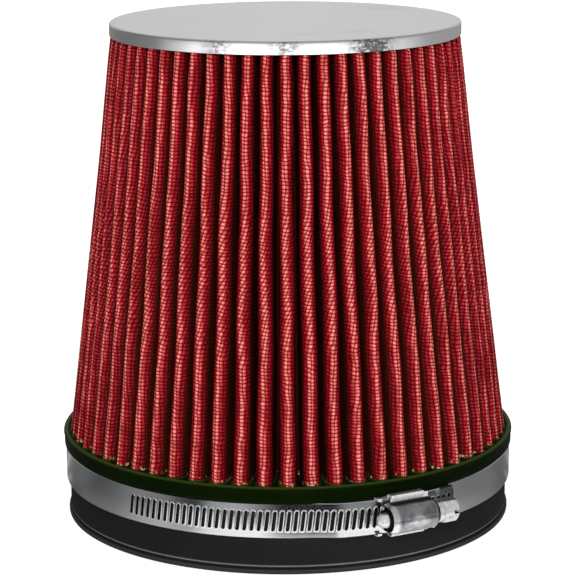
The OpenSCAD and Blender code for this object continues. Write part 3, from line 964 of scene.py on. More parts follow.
class FILTER_OT_cap(bpy.types.Operator):
    """Spin the polished cap, with its rounded shoulder and hemmed edge."""

    bl_idname = "filter.cap"
    bl_label = "Cap"

    def execute(self, context):
        cap = context.scene.filter_cap
        radius, top, edge, wall = CAP_HIGH.x, CAP_HIGH.z, CAP_LOW.z, cap.wall
        inner = radius - wall
        corners = [(0, top), (radius, top), (radius, edge), (inner, edge), (inner, top - wall), (0, top - wall)]
        radii = [0, cap.shoulder, 0.22 * MM, 0.18 * MM, cap.shoulder - wall, 0]
        outline = filleted(corners, radii, 6)
        # Rings of points on the flat, so that the surface shades evenly
        outline[1:1] = [(radius * s, top) for s in (0.25, 0.5, 0.75, 0.95)]
        made = lathe("cap_shell", outline, 320)
        dress(made, 40, "filter", polished_cap_finish(cap), ("top_cap",))
        return {"FINISHED"}


class FILTER_OT_ring(bpy.types.Operator):
    """Cast the end ring, with resin that climbs the pleats' feet."""

    bl_idname = "filter.ring"
    bl_label = "End Ring"

    # Steps round the ring for each pleat, and how often the resin's height changes by chance
    STEPS_PER_PLEAT, LIFTS_PER_PLEAT = 12, 3
    # Width of the finely divided shore inside the bead, and the rings of points on it and as many beyond it
    SHORE, SHORE_RINGS = 3.4 * MM, 12
    # Distance from the pleats over which the resin's climb dies out, its swell, and where that starts
    CLIMB_FADE, SWELL, SWELL_START = 0.55 * MM, 0.16 * MM, 1.5 * MM

    def outline(self, ring):
        """Closed outline, with the flat top left out between bead and throat."""
        top, low, neck, rim = RING_HIGH.z, RING_LOW.z, NECK_HIGH.z, RING_HIGH.x
        wall, bead = rim - ring.step, ring.bead
        below = filleted(
            [(wall, top - 2 * bead), (wall, neck), (ring.spigot, neck), (ring.spigot, low),
             (ring.throat, low), (ring.throat, top)],
            [0.2 * MM, 0.7 * MM, 0.1 * MM, 0.5 * MM, ring.throat_round, 1.2 * MM],
            8,
        )
        return arc(rim - bead, top + ring.lip - bead, bead, range(160, -61, -20)) + [tuple(p) for p in below]

    def execute(self, context):
        ring, pack = context.scene.filter_ring, context.scene.filter_pack
        outline, top = self.outline(ring), RING_HIGH.z
        first, last = outline[0][0], outline[-1][0]
        shore = np.linspace(first, first - self.SHORE, self.SHORE_RINGS)
        beyond = np.linspace(first - self.SHORE, last, self.SHORE_RINGS)
        half = pleat_half(pack, top, 0.0, True)
        trace = np.array([(r, -side) for r, side in half][:0:-1] + half)
        starts, run = trace[:-1], trace[1:] - trace[:-1]
        rough = np.random.default_rng(11).random((pack.pleats * self.LIFTS_PER_PLEAT, 3))
        steps = self.STEPS_PER_PLEAT
        middle = steps // 2
        outlines = []
        for j in range(steps * pack.pleats):
            local = ((j + middle) % steps - middle) * TURN / (steps * pack.pleats)
            spot = j / steps * self.LIFTS_PER_PLEAT
            k, part = int(spot) % len(rough), spot % 1
            lift = rough[k] * (1 - part) + rough[(k + 1) % len(rough)] * part
            flat = []
            for r in [*shore[1:], *beyond[1:-1]][::-1]:
                p = np.array([r * math.cos(local), r * math.sin(local)])
                t = np.clip(((p - starts) * run).sum(1) / (run * run).sum(1), 0, 1)
                away = np.linalg.norm(starts + run * t[:, None] - p, axis=1).min()
                climb = ring.creep * (0.35 + 0.9 * lift[0]) * math.exp(-away / self.CLIMB_FADE)
                swell = self.SWELL * (lift[1] - 0.5) * min(1.0, (first - r) / self.SWELL_START)
                flat.append((r, top + climb + swell))
            outlines.append(outline + flat)
        mesh = spin("ring_casting", outlines, -math.pi / 2)
        tidy(mesh)
        made = show("ring_casting", mesh)
        dress(made, 45, "filter", resin_finish(ring), ("end_ring",))
        return {"FINISHED"}


class FILTER_OT_neck(bpy.types.Operator):
    """Spin the rubber neck: bore, stop, clamp land, groove and lip."""

    bl_idname = "filter.neck"
    bl_label = "Neck"

    def execute(self, context):
        neck, spigot = context.scene.filter_neck, context.scene.filter_ring.spigot
        mouth, top, stop = NECK_HIGH.x, NECK_HIGH.z, RING_LOW.z
        wall_r = BORE_R + neck.wall
        land_r, groove_r = wall_r + neck.land, wall_r - neck.groove_depth
        land_z, groove_top = BAND_LOW.z - 0.3 * MM, neck.lip + neck.groove
        # Radius and height of each corner, and its rounding in millimetres
        corners = (
            (BORE_R + 1.0 * MM, 0, 0.3),
            (mouth, 0, 0.6),
            (mouth, neck.lip, 0.5),
            (groove_r, neck.lip, 0.15),
            (groove_r, groove_top, 0.15),
            (wall_r, groove_top + 0.1 * MM, 0.35),
            (wall_r, land_z - neck.land, 0.3),
            (land_r, land_z, 0.3),
            (land_r, top, 0.25),
            (spigot, top, 0.1),
            (spigot, stop, 0.3),
            (BORE_R, stop, 0.4),
            (BORE_R, 1.0 * MM, 0.3),
        )
        outline = filleted([(r, z) for r, z, _ in corners], [rounding * MM for _, _, rounding in corners], 4)
        made = lathe("neck_moulding", outline, 288)
        dress(made, 50, "filter", rubber_finish(neck), ("neck_sleeve",))
        return {"FINISHED"}


class FILTER_OT_inside(bpy.types.Operator):
    """Finish the potting under the cap and the clip on the pack's seam."""

    bl_idname = "filter.inside"
    bl_label = "Potting and Clip"

    def execute(self, context):
        for node, material, slot in (
            ("top_potting", potting_finish(), "potting"),
            ("seam_clip", clip_finish(), "bare_screen"),
        ):
            piece = frame["nodes"][node]
            piece.data.materials.clear()
            piece.data.materials.append(material)
        return {"FINISHED"}


# Heights across the band, in millimetres, at which the slot tile and the plain strip share their points
ACROSS = (-6.35, -6.15, -4.35, -3.75, -3.05, -1.0, 1.0, 3.05, 3.75, 4.35, 6.15, 6.35)
EDGE_ROUND = 0.18 * MM
# The pressed rim round a slot: how far out of the slot, and shares of the sheet and of the rim in its height
RIM_PROFILE = ((0, 0, 0), (0, 0.8, 0), (0.05, 1, 0.7), (0.14, 1, 1), (0.26, 1, 0.85), (0.42, 1, 0.12), (0.52, 1, 0))
# How far the lean of the slots dies out before the first and after the last
LEAN_BEFORE, LEAN_AFTER = 0.006, 0.0014


def strip_shell(stations, thick, half_at, last):
    """Flat plain strip through the stations, with rounded edges. half_at gives its half width at a station.

    It is closed at its last station or its first, and open at the other, where it welds to the slots.
    """
    shares = [a / ACROSS[-1] for a in ACROSS]
    profile = [(share, thick - (EDGE_ROUND if abs(share) > 0.999 else 0)) for share in shares]
    profile += [(share, EDGE_ROUND if abs(share) > 0.999 else 0) for share in reversed(shares)]
    count = len(profile)
    points = [(x, share * half_at(x), z) for x in stations for share, z in profile]
    faces = grid_faces(len(stations), count, wrap=True)
    base = (len(stations) - 1) * count if last else 0
    for j in range(len(shares) - 1):
        quad = (base + j, base + count - 1 - j, base + count - 2 - j, base + j + 1)
        faces.append(quad[::-1] if last else quad)
    return points, faces


def slot_tile(clamp):
    """One pitch of the band with a slot and its pressed rim, laid flat."""
    t, h = clamp.thick, clamp.pitch / 2
    w, straight = clamp.slot_wide / 2, (clamp.slot_long - clamp.slot_wide) / 2
    side = (-straight, ACROSS[5] * MM, ACROSS[6] * MM)
    y1, y2 = ACROSS[8] * MM, ACROSS[9] * MM

    def ring(half, z):
        """A ring of points from its first half, which is repeated half a turn on."""
        return [(sign * x, sign * y, z) for sign in (1, -1) for x, y in half]

    def border(z):
        corner = [(h, straight), (h, y1), (h, y2), (0, y2), (-h, y2), (-h, y1)]
        return ring([(h, y) for y in side] + corner, z)

    def loop(out, z):
        return ring([(w + out, y) for y in side] + arc(0, straight, w + out, range(0, 180, 30)), z)

    rings = [border(0), *(loop(out * MM, t * a + clamp.rim * b) for out, a, b in RIM_PROFILE), border(t)]
    points = [p for ring in rings for p in ring]
    faces = grid_faces(len(rings), len(rings[0]), wrap=True)
    # The margins beyond the slot, round the strip's edges
    y3, y4 = ACROSS[10] * MM, ACROSS[11] * MM
    margin = ((y2, t), (y3, t), (y4, t - EDGE_ROUND), (y4, EDGE_ROUND), (y3, 0), (y2, 0))
    for sign in (1, -1):
        start = len(points)
        points += [(x, sign * y, z) for y, z in margin for x in (-h, 0, h)]
        for i in range(len(margin) - 1):
            for a in (start + 3 * i, start + 3 * i + 1):
                quad = (a, a + 1, a + 4, a + 3)
                faces.append(quad if sign < 0 else quad[::-1])
    mesh = mesh_of("slot_tile", points, faces)
    tidy(mesh, 1e-7)
    return mesh


def band_tree(clamp, tile, first, last):
    """Sets the slots along the flat strip, leans them, and wraps the strip round the neck."""
    values = {
        "Slot": tile,
        "Slots": clamp.slots,
        "Pitch": clamp.pitch,
        "First": first,
        "Last": last,
        "Lean": clamp.lean,
        "Lower": clamp.lower_r,
        "Upper": clamp.upper_r,
        "Ramp start": clamp.ramp_start,
        "Ramp": clamp.ramp,
        "Middle": BAND_MID,
        "Head": HEAD_TURN,
        "Flat radius": flat_radius(clamp),
    }
    tree = Tree("Slotted Band", values)
    slot, slots, pitch, first, last, lean, lower, upper, ramp_start, ramp, middle, head, flat_r = tree.inputs
    g = tree.graph
    start, offset = g.vector(first, 0.0, 0.0), g.vector(pitch, 0.0, 0.0)
    line = g.node("GeometryNodeMeshLine", {"Count": slots, "Start Location": start, "Offset": offset})
    shape = g.node("GeometryNodeObjectInfo", {"Object": slot}, "Geometry")
    row = g.node("GeometryNodeInstanceOnPoints", {"Points": line, "Instance": shape})
    both = g.node("GeometryNodeJoinGeometry")
    for part in (g.node("GeometryNodeRealizeInstances", {"Geometry": row}), tree.base):
        g.tree.links.new(part.socket, both.socket.node.inputs[0])
    whole = g.node("GeometryNodeMergeByDistance", {"Geometry": both, "Distance": 1e-5})
    flat = g.node("GeometryNodeInputPosition")
    named = g.node(
        "GeometryNodeStoreNamedAttribute",
        {"Geometry": whole, "Name": "strip", "Value": flat},
        data_type="FLOAT_VECTOR",
        domain="POINT",
    )
    x, y, z = g.parts(flat)
    low, high = first - pitch * 0.5, last + pitch * 0.5
    leaning = g.between(x, low - LEAN_BEFORE, low, high, high + LEAN_AFTER)
    turn = (x + y * g.calc("TANGENT", lean) * leaning) / flat_r
    share = g.least(g.most((turn - ramp_start) / ramp, 0.0), 1.0)
    radius = lower + (upper - lower) * (1 - g.cosine(share * math.pi)) / 2 + z
    turn = turn + head
    place = g.vector(radius * g.cosine(turn), radius * g.sine(turn), y + middle)
    return tree.end(g.node("GeometryNodeSetPosition", {"Geometry": named, "Position": place}))


class FILTER_OT_band(bpy.types.Operator):
    """Roll the slotted band round the neck, with a pressed rim round each slot."""

    bl_idname = "filter.band"
    bl_label = "Clamp Band"

    def strip(self, clamp, first, last):
        """The plain strip before the first slot and after the last, with a rounded tail."""
        start, end = (clamp.start - TURN) * flat_radius(clamp), clamp.tail * flat_radius(clamp)
        corner = clamp.tail_round

        def half_at(x):
            left = corner - (end - x)
            drop = 0.0 if left <= 0 else corner - math.sqrt(max(corner**2 - left**2, 0.0))
            return BAND_HALF - drop

        short = last + clamp.pitch / 2
        corner_part = [end - corner + corner * math.sin(math.radians(a)) for a in range(0, 91, 10)]
        tail_part = [x for x in [short, short + 0.3 * MM] if x < corner_part[0]] or [short]
        tail_part += [x for x in corner_part if x > tail_part[-1] + 0.01 * MM]
        long_part = np.linspace(start, first - clamp.pitch / 2, 300)
        points, faces = strip_shell(long_part, clamp.thick, half_at, False)
        more, extra = strip_shell(tail_part, clamp.thick, half_at, True)
        faces += [tuple(v + len(points) for v in f) for f in extra]
        return mesh_of("strip", points + more, faces)

    def execute(self, context):
        clamp = context.scene.filter_clamp
        last = clamp.last_slot * flat_radius(clamp)
        first = last - (clamp.slots - 1) * clamp.pitch
        tile = show("slot_tile", slot_tile(clamp))
        tree = band_tree(clamp, tile, first, last)
        made = tree.grow("band_strip", self.strip(clamp, first, last), strip_finish(clamp))
        bpy.data.objects.remove(tile)
        tidy(made.data)
        dress(made, 40, "band", replaces=("clamp_band",))
        return {"FINISHED"}


def sheet_metal(name, rows, thick, offset=-1.0, bevel=0.12 * MM):
    """Pressed sheet: rows of points made thick, with its edges broken."""
    points = [p for row in rows for p in row]
    made = show(name, mesh_of(name, points, grid_faces(len(rows), len(rows[0]))))
    shell = made.modifiers.new("wall", "SOLIDIFY")
    shell.thickness, shell.offset = thick, offset
    shell.use_even_offset = True
    soft = made.modifiers.new("edge", "BEVEL")
    soft.width, soft.segments, soft.limit_method = bevel, 2, "ANGLE"
    soft.angle_limit = math.radians(50)
    settle(made)
    tidy(made.data, 1e-7)
    return made


def across_head(y, half=(), middle=()):
    """Points across the head at y: half an outline of (x, z), what lies in its middle, and the other half."""
    return [(x, y, BAND_MID + z) for x, z in [*half, *middle, *[(x, -z) for x, z in reversed(half)]]]


class FILTER_OT_head(bpy.types.Operator):
    """Press the clamp's head: saddle, folds, front clips and screw housing."""

    bl_idname = "filter.head"
    bl_label = "Clamp Head"

    # Angles of the points round a bend of the saddle
    BEND = (0, 22, 45, 68, 90)
    # Rolled lip of the barrel: how far it stands out, and how far in from the mouth, in millimetres
    LIP = ((0.0, 0.0), (0.16, 0.3), (0.2, 0.75), (0.05, 1.15))
    # How far the feet and folds are cut back at their corners
    CORNER = 0.9 * MM
    # How much the barrel is drawn in at the point's mouth and at the other, and over what length, in millimetres
    MOUTHS = ((0.8, 2.6), (0.35, 0.9))
    # Room between the saddle and the band over it, the feet beside it, and the band at the clips
    BAND_GAP, FOOT_GAP, CLIP_GAP = 0.3 * MM, 0.05 * MM, 0.15 * MM

    def housing(self, clamp):
        """Arched barrel on two feet. The feet are cut back at the point's end."""
        half, foot, wall = clamp.housing_long / 2, clamp.foot, clamp.housing_wall
        foot_top = clamp.foot_r + wall
        foot_start = clamp.fold_shift - clamp.fold_long / 2
        bend, step = 0.5 * MM, self.CORNER

        def radius(y):
            """The barrel is drawn in at both mouths, most at the screw's point."""
            r = clamp.barrel
            for into, (draw, run) in zip((y + half, half - y), self.MOUTHS):
                r -= draw * MM * max(0.0, 1 - into / (run * MM)) ** 2
            return r

        def bulge(y):
            return arc(SCREW_R, 0, radius(y), np.linspace(90, -90, 23))

        def section(y, reach):
            """Foot, bend, barrel, bend and foot. The feet reach out as far as asked."""
            side = radius(y) + 0.02 * MM
            reach = max(reach, side + bend + 0.02 * MM)
            right = [(foot_top, reach), *arc(foot_top + bend, side + bend, bend, (180, 210, 240, 270))]
            return across_head(y, right, bulge(y))

        def bare(y):
            """The barrel alone, on short straight sides."""
            side = [(foot_top - 0.1 * MM - k * 0.05 * MM, radius(y)) for k in range(5)]
            return across_head(y, side[::-1], bulge(y))

        front = [bare(y) for y in np.linspace(-half, foot_start + 0.4 * MM, 10)]
        corner = [section(*at) for at in arc(foot_start + step, foot - step, step, (175, 145, 115, 90))]
        ends = (half - 0.6 * MM, half - 0.3 * MM, half)
        body = [section(y, foot) for y in [*np.linspace(foot_start + step * 1.6, half - 0.9 * MM, 8), *ends]]
        parts = [sheet_metal("housing_front", front, wall), sheet_metal("housing_body", corner + body, wall)]
        for mouth, inwards in ((-half, 1), (half, -1)):
            rows = []
            for grow, out in self.LIP:
                y = mouth + inwards * out * MM
                lip = arc(SCREW_R, 0, radius(y) + grow * MM - 0.03 * MM, np.linspace(100, -100, 27))
                rows.append(across_head(y, middle=lip))
            parts.append(sheet_metal("housing_lip", rows[::inwards], 0.5 * MM, bevel=0.08 * MM))
        return joined("head_housing", parts)

    def saddle(self, clamp):
        """Curved sheet under the band, with folds over the housing's feet and clips at the front."""
        t, bend = clamp.saddle_wall, 0.55 * MM
        low_r = clamp.upper_r - self.BAND_GAP - t / 2
        side = clamp.foot + self.FOOT_GAP + t / 2
        # The clips hug the band, so the sheet is narrower there
        clip_side = BAND_HALF + self.CLIP_GAP + t / 2
        clip_wide = 1.7 * MM

        def base_x(y):
            return math.sqrt(low_r**2 - y**2)

        def channel(y, top, reach, side, shorter):
            """From one folded edge round under the band to the other. The upper edge may be shorter."""
            x0 = base_x(y)
            half = [(top, reach), *arc(top - bend, side - bend, bend, self.BEND)]
            half += arc(x0 + bend, side - bend, bend, [90 + a for a in self.BEND])
            whole = across_head(y, [*half, (x0, side * 0.4)], [(x0, 0.0)])
            return [(top, y, BAND_MID + (reach + shorter)), *whole[1:]]

        def rows(ya, yb, top, reach, steps, side, notch=0.0, shorter=0.0):
            """Channels from ya to yb. The notch rounds the sheet's corners."""
            out = []
            for k in range(steps + 1):
                y = ya + (yb - ya) * k / steps
                end = min(y - ya, yb - y)
                back = notch * (1 - math.sin(math.acos(max(0.0, 1 - end / notch)))) if end < notch else 0.0
                out.append(channel(y, top, reach + back, side, shorter))
            return out

        y0, y1 = clamp.fold_shift - clamp.fold_long / 2, clamp.fold_shift + clamp.fold_long / 2
        fold_x, reach = clamp.foot_r + clamp.housing_wall + t / 2, clamp.barrel + 0.15 * MM
        folds = rows(y0, y1, fold_x, reach, 14, side, notch=self.CORNER)
        # The clips stand just before the barrel's mouth
        front = -math.atan((clamp.housing_long / 2 + 0.3 * MM) / clamp.foot_r) - math.radians(0.1)
        yb = clamp.foot_r * math.sin(front)
        ya = yb - clip_wide
        clip_x, clip_reach = clamp.foot_r + 0.3 * MM, clip_side + t / 2 - 1.5 * MM
        clips = rows(ya, yb, clip_x, clip_reach, 4, clip_side, shorter=0.6 * MM)
        base = []
        for y in np.linspace(ya + 0.2 * MM, y1 + 0.7 * MM, 22):
            widen = min(1.0, max(0.0, (y - yb) / (y0 - yb)))
            edge = clip_side + (side - clip_side) * widen - 0.3 * MM
            base.append(across_head(y, middle=[(base_x(y), z) for z in np.linspace(edge, -edge, 5)]))
        named = {"saddle_folds": folds, "saddle_clips": clips, "saddle_base": base}
        return joined("head_saddle", [sheet_metal(name, sheet, t, 0.0) for name, sheet in named.items()])

    def execute(self, context):
        clamp = context.scene.filter_clamp
        steel = pressed_finish(clamp)
        for made, node in ((self.housing(clamp), "clamp_housing"), (self.saddle(clamp), "clamp_saddle")):
            to_head(made.data)
            dress(made, 30, "clamp_head", steel, (node,))
        return {"FINISHED"}


def thread_tree(screw, clamp):
    """Winds a thread round the screw. Its foot lies inside the core."""
    turns = (clamp.housing_long - 2.4 * MM) / clamp.pitch
    high = screw.crest - screw.core + 0.4 * MM
    values = {
        "Radius": screw.crest - high / 2,
        "Lead": clamp.pitch,
        "Turns": turns,
        "Wide": 0.95 * MM,
        "High": high,
        "Start": -turns * clamp.pitch / 2,
    }
    tree = Tree("Worm Thread", values)
    g, (radius, lead, turns, wide, high, start) = tree.graph, tree.inputs
    helix = g.node(
        "GeometryNodeCurveSpiral",
        {"Resolution": 40, "Rotations": turns, "Start Radius": radius, "End Radius": radius, "Height": turns * lead},
    )
    upright = g.node("GeometryNodeSetCurveNormal", {"Curve": helix}, mode="Z_UP")
    profile = g.node(
        "GeometryNodeCurvePrimitiveQuadrilateral", {"Width": high, "Height": wide}, mode="RECTANGLE"
    )
    thread = g.node("GeometryNodeCurveToMesh", {"Curve": upright, "Profile Curve": profile, "Fill Caps": True})
    up = g.vector(0.0, 0.0, start)
    return tree.end(g.node("GeometryNodeTransform", {"Geometry": thread, "Translation": up}))


class FILTER_OT_screw(bpy.types.Operator):
    """Turn the worm screw: point, thread, collar and slotted hexagon."""

    bl_idname = "filter.screw"
    bl_label = "Worm Screw"

    SIDES = 72
    # The point's outline: shares of the core's radius, and millimetres above the tip
    POINT = ((0.0, 0.0), (0.2, 0.03), (0.42, 0.35), (0.62, 1.0), (0.76, 1.8), (0.82, 2.6), (0.83, 3.6), (1.0, 4.3))
    # The collar's two ends: millimetres less than its radius, and into it
    COLLAR = ((0.25, 0.0), (0.07, 0.07), (0.0, 0.25)), ((0.0, 0.35), (0.1, 0.12), (0.35, 0.0))
    # The hexagon's chamfer: shares of the corners' radius, and millimetres below the end
    CHAMFER = ((1.0, 1.2), (1.0, 0.7), (0.955, 0.3), (0.9, 0.06), (0.84, 0.0))

    def to_screw(self, mesh):
        """From the screw's own axes, Z towards the hexagon, to its place."""
        mesh.transform(Matrix.Rotation(math.radians(-90), 4, "X"))
        mesh.transform(Matrix.Translation((SCREW_R, 0, BAND_MID)))
        to_head(mesh)

    def body(self, screw, half, end):
        """Point, core, collar and hexagon in one turned piece, still without the driver's slot."""
        low, high, tip = half + 0.5 * MM, end - screw.hex_long, -half - screw.point
        flat = screw.flats / 2
        corner_r = flat / math.cos(math.radians(30))
        first, last = self.COLLAR
        outline = [(screw.core * share, tip + rise * MM) for share, rise in self.POINT] + [(screw.core, low)]
        outline += [(screw.collar - less * MM, low + into * MM) for less, into in first]
        outline += [(screw.collar - less * MM, high - into * MM) for less, into in last]
        rows = [[point] * self.SIDES for point in outline]
        sides = [flat / math.cos(math.radians(360 * j / self.SIDES % 60 - 30)) for j in range(self.SIDES)]
        chamfer = [(1.0, high), (1.0, high + 0.3 * MM), *((share, end - less * MM) for share, less in self.CHAMFER)]
        rows += [[(min(side, corner_r * share), z) for side in sides] for share, z in chamfer]
        rows += [[(flat * 0.5, end)] * self.SIDES, [(0.0, end)] * self.SIDES]
        turns = [TURN * j / self.SIDES for j in range(self.SIDES)]
        points = [(r * math.cos(a), r * math.sin(a), z) for row in rows for a, (r, z) in zip(turns, row)]
        mesh = mesh_of("screw_body", points, grid_faces(len(rows), self.SIDES, wrap=True))
        tidy(mesh, 1e-7, 1e-8)
        return show("screw_body", mesh)

    def cut_slot(self, made, screw, end):
        """Cuts the driver's slot."""
        mesh = bpy.data.meshes.new("driver_slot")
        work = bmesh.new()
        size = Matrix.Diagonal((20 * MM, screw.slot_wide, 2 * screw.slot_deep, 1))
        bmesh.ops.create_cube(work, size=1.0, matrix=Matrix.Translation((0, 0, end)) @ size)
        work.to_mesh(mesh)
        work.free()
        cutter = show("driver_slot", mesh)
        cut = made.modifiers.new("slot", "BOOLEAN")
        cut.object, cut.operation, cut.solver = cutter, "DIFFERENCE", "EXACT"
        settle(made)
        bpy.data.objects.remove(cutter)

    def execute(self, context):
        screw, clamp = context.scene.filter_screw, context.scene.filter_clamp
        half = clamp.housing_long / 2
        end = half + 0.3 * MM + screw.collar_long + screw.hex_long
        made = self.body(screw, half, end)
        self.cut_slot(made, screw, end)
        steel = plated_finish(screw, half, end)
        thread = thread_tree(screw, clamp).grow("screw_thread", bpy.data.meshes.new("empty"), steel)
        for piece, nodes in ((made, ("worm_screw",)), (thread, ())):
            self.to_screw(piece.data)
            dress(piece, 32, "screw", steel, nodes)
        return {"FINISHED"}


# Name, power's setting, size, place and height of the aim of each lamp
LAMPS = (
    ("front_light", "front", (2.0, 0.9), (0.0, -1.32, 0.43), 0.12),
    ("back_light", "behind", (1.0, 0.7), (-0.65, 1.25, 1.0), 0.09),
    ("back_light", "behind", (1.0, 0.7), (0.65, 1.25, 1.0), 0.09),
    ("key_light", "key", (0.34, 0.7), (0.02, -1.2, 0.62), 0.09),
    ("top_light", "above", (1.4, 1.0), (0.0, 0.1, 1.5), 0.1),
)
# Half the floor's width, and how far it lies below the mouth
FLOOR_HALF, FLOOR_DROP = 9, 0.4 * MM
# The strip of floor that the band mirrors: its distance in front, and how much nearer it is at the sides
MIRRORED_AT, MIRRORED_BEND = 0.131, 0.311
WHITE = (1.0, 1.0, 1.0)


class FILTER_OT_stage(bpy.types.Operator):
    """Set the floor, the lights and the camera."""

    bl_idname = "filter.stage"
    bl_label = "Stage"

    def ramp(self, g, vector, stops):
        """A ramp's colour by the direction round the object, and that direction: 0.5 is the front."""
        turn = g.turn(vector) / TURN + 0.5
        return g.node("ShaderNodeValToRGB", {"Fac": turn}, stops=stops), turn

    def floor(self):
        """A pale floor that keeps the shadow. Metal sees it in softer greys, as in a studio with dark sides."""
        corners = [(x * FLOOR_HALF, y * FLOOR_HALF, -FLOOR_DROP) for x, y in ((-1, -1), (1, -1), (1, 1), (-1, 1))]
        mesh = mesh_of("floor", corners, [(0, 1, 2, 3)])
        floor = show("floor", mesh)
        g = Surface("pale_floor")
        seen, gloss = g.rays()
        place = g.place()
        x, y, _ = g.parts(place)
        away = g.reach(x, y)
        (near, turn), (middle, _), (far, _) = (
            self.ramp(g, place, stops) for stops in (NEAR_GREYS, MIDDLE_GREYS, FAR_GREYS)
        )
        # The band sees a curved strip of it: its lower part the near greys, its upper part the middle ones
        strip = away / (MIRRORED_AT - (turn - 0.5) ** 2 * MIRRORED_BEND)
        edge = g.most(g.step(strip, 0.955, 0.985), g.step(abs(turn - 0.5), 15 / 360, 40 / 360))
        mirrored = g.mix(edge, (1.1, 1.1, 1.1), near)
        mirrored = g.mix(g.step(strip, 1.02, 1.13), mirrored, middle)
        mirrored = g.mix(g.step(away, 3.0 * BORE_R, 6.0 * BORE_R), mirrored, far)
        glow = seen * (0.8 + g.step(away, 0.5, 1.6) * 0.2)
        paper = g.node("ShaderNodeBsdfDiffuse", {"Color": (0.55, 0.55, 0.55)})
        white = g.node("ShaderNodeEmission", {"Color": WHITE, "Strength": glow})
        card = g.node("ShaderNodeEmission", {"Color": mirrored, "Strength": 1.0})
        base = g.node("ShaderNodeAddShader", {0: paper, 1: white})
        mesh.materials.append(g.output(g.node("ShaderNodeMixShader", {0: gloss, 1: base, 2: card})))

    def world(self, stage):
        """An even fill, white behind everything, and walls of soft greys for metal to mirror."""
        world = bpy.data.worlds.new("studio")
        bpy.context.scene.world = world
        world.use_nodes = True
        g = Graph(world.node_tree)
        seen, gloss = g.rays()
        direction = g.place("Generated")
        around, _ = self.ramp(g, direction, WALL_GREYS)
        dome = g.mix(g.step(g.parts(direction)[2], 0.35, 0.9), around, (0.42, 0.42, 0.42))
        fill, walls, white = (
            g.node("ShaderNodeBackground", {"Color": tint, "Strength": strength})
            for tint, strength in ((WHITE, stage.fill), (dome, 1.0), (WHITE, 1.0))
        )
        mixed = g.node("ShaderNodeMixShader", {0: gloss, 1: fill, 2: walls})
        g.node("ShaderNodeOutputWorld", {"Surface": g.node("ShaderNodeMixShader", {0: seen, 1: mixed, 2: white})})

    def lamps(self, stage):
        """Wide lamps that neither the camera nor metal sees."""
        for name, setting, size, place, aim in LAMPS:
            data = bpy.data.lights.new(name, "AREA")
            data.shape, data.energy = "RECTANGLE", getattr(stage, setting)
            data.size, data.size_y = size
            lamp = show(name, data)
            lamp.location = place
            lamp.rotation_euler = (Vector((0, 0, aim)) - Vector(place)).to_track_quat("-Z", "Y").to_euler()
            lamp.visible_camera = lamp.visible_glossy = False

    def camera(self, scene, stage):
        data = bpy.data.cameras.new("camera")
        data.lens, data.sensor_width = stage.lens, 36.0
        data.clip_start, data.clip_end = 0.01, 50.0
        camera = show("camera", data)
        camera.location = (0, -stage.distance, stage.height)
        look = Euler((math.radians(90) - stage.tilt, 0, stage.pan)).to_matrix()
        roll = Matrix.Rotation(stage.roll, 3, "Z")
        camera.rotation_euler = (look @ roll).to_euler()
        scene.camera = camera

    def execute(self, context):
        scene, stage = context.scene, context.scene.filter_stage
        self.floor()
        self.world(stage)
        self.lamps(stage)
        self.camera(scene, stage)
        scene.view_settings.view_transform = "Standard"
        return {"FINISHED"}


def greys(*stops):
    """Ramp stops from (degrees from the front, level) pairs."""
    return [(place / 360 + 0.5, (level, level, level)) for place, level in stops]


# How bright the studio looks from the metal, by direction: the floor near the object, and the walls
NEAR_GREYS = greys((-180, 0.15), (-111, 0.2), (-105, 0.36), (-102, 0.14), (-95, 0.09), (-86, 0.14), (-75, 0.17),
                   (-66, 0.2), (-54, 0.4), (-43, 0.52), (-33, 0.4), (-27, 0.95), (-15, 1.15), (-10, 1.35),
                   (-7, 1.0), (-3, 0.08), (3, 0), (8, 0), (10, 0.3), (12, 1.2), (20, 1.3), (28, 1.3), (45, 1.1),
                   (60, 0.4), (70, 0.28), (84, 0.2), (92, 0.14), (103, 0.11), (106.5, 0.34), (109, 0.16),
                   (180, 0.15))
MIDDLE_GREYS = greys((-180, 0.15), (-122, 0.22), (-114.5, 0.42), (-112, 0.2), (-104, 0.13), (-94, 0.14),
                     (-82, 0.08), (-73, 0.12), (-59, 0.23), (-47, 0.18), (-40, 0.04), (-33, 0.02), (-29, 0.3),
                     (-23, 0.36), (-17, 0.38), (-12.6, 0.24), (-8.7, 0.12), (-2.6, 0.0), (3.4, 0.0), (7.5, 0.008),
                     (13.6, 0.07), (21.6, 0.22), (30, 0.2), (50, 0.25), (77, 0.18), (84, 0.18), (91.5, 0.18),
                     (100, 0.13), (112, 0.16), (116.5, 0.36), (120, 0.2), (180, 0.15))
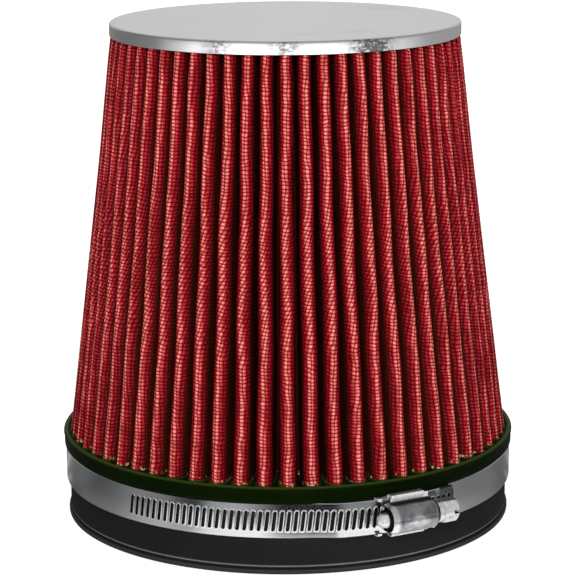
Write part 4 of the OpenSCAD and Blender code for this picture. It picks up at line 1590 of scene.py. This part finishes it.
FAR_GREYS = greys((-180, 0.3), (-134, 0.2), (-121, 0.19), (-89, 0.26), (-70, 0.85), (-58, 1.4), (-47, 1.05),
                  (-40, 1.7), (-30, 2.2), (0, 1.9), (27, 2.1), (45, 1.3), (59, 1.05), (79, 0.84), (102, 0.42),
                  (134, 0.38), (180, 0.3))
WALL_GREYS = greys((-180, 0.68), (-150, 0.4), (-120, 0.16), (-60, 0.26), (-40, 0.5), (0, 0.55), (40, 0.5),
                   (60, 0.4), (120, 0.32), (150, 0.45), (180, 0.68))


class FILTER_PT_panel(bpy.types.Panel):
    """Sidebar list of the filter's pieces and their settings."""

    bl_idname = "FILTER_PT_panel"
    bl_label = "Cone Air Filter"
    bl_space_type = "VIEW_3D"
    bl_region_type = "UI"
    bl_category = "Filter"

    def draw(self, context):
        for name, (_, operators) in LAYOUT.items():
            box = self.layout.box()
            box.label(text=name.capitalize())
            for operator in operators:
                box.operator(operator.bl_idname)
            settings = getattr(context.scene, "filter_" + name)
            for key in settings.bl_rna.properties.keys():
                if key not in {"rna_type", "name"}:
                    box.prop(settings, key)


LAYOUT = {
    "pack": (PackSettings, (FILTER_OT_pack, FILTER_OT_inside)),
    "cap": (CapSettings, (FILTER_OT_cap,)),
    "ring": (RingSettings, (FILTER_OT_ring,)),
    "neck": (NeckSettings, (FILTER_OT_neck,)),
    "clamp": (ClampSettings, (FILTER_OT_band, FILTER_OT_head)),
    "screw": (ScrewSettings, (FILTER_OT_screw,)),
    "stage": (StageSettings, (FILTER_OT_stage,)),
}
CLASSES = [*(c for group, operators in LAYOUT.values() for c in (group, *operators)), FILTER_PT_panel]


def register():
    for cls in CLASSES:
        bpy.utils.register_class(cls)
    for name, (group, _) in LAYOUT.items():
        setattr(bpy.types.Scene, "filter_" + name, PointerProperty(type=group))


def unregister():
    for name in LAYOUT:
        delattr(bpy.types.Scene, "filter_" + name)
    for cls in reversed(CLASSES):
        bpy.utils.unregister_class(cls)


def main():
    register()
    for _, operators in LAYOUT.values():
        for operator in operators:
            family, name = operator.bl_idname.split(".")
            getattr(getattr(bpy.ops, family), name)()


if __name__ == "__main__":
    main()
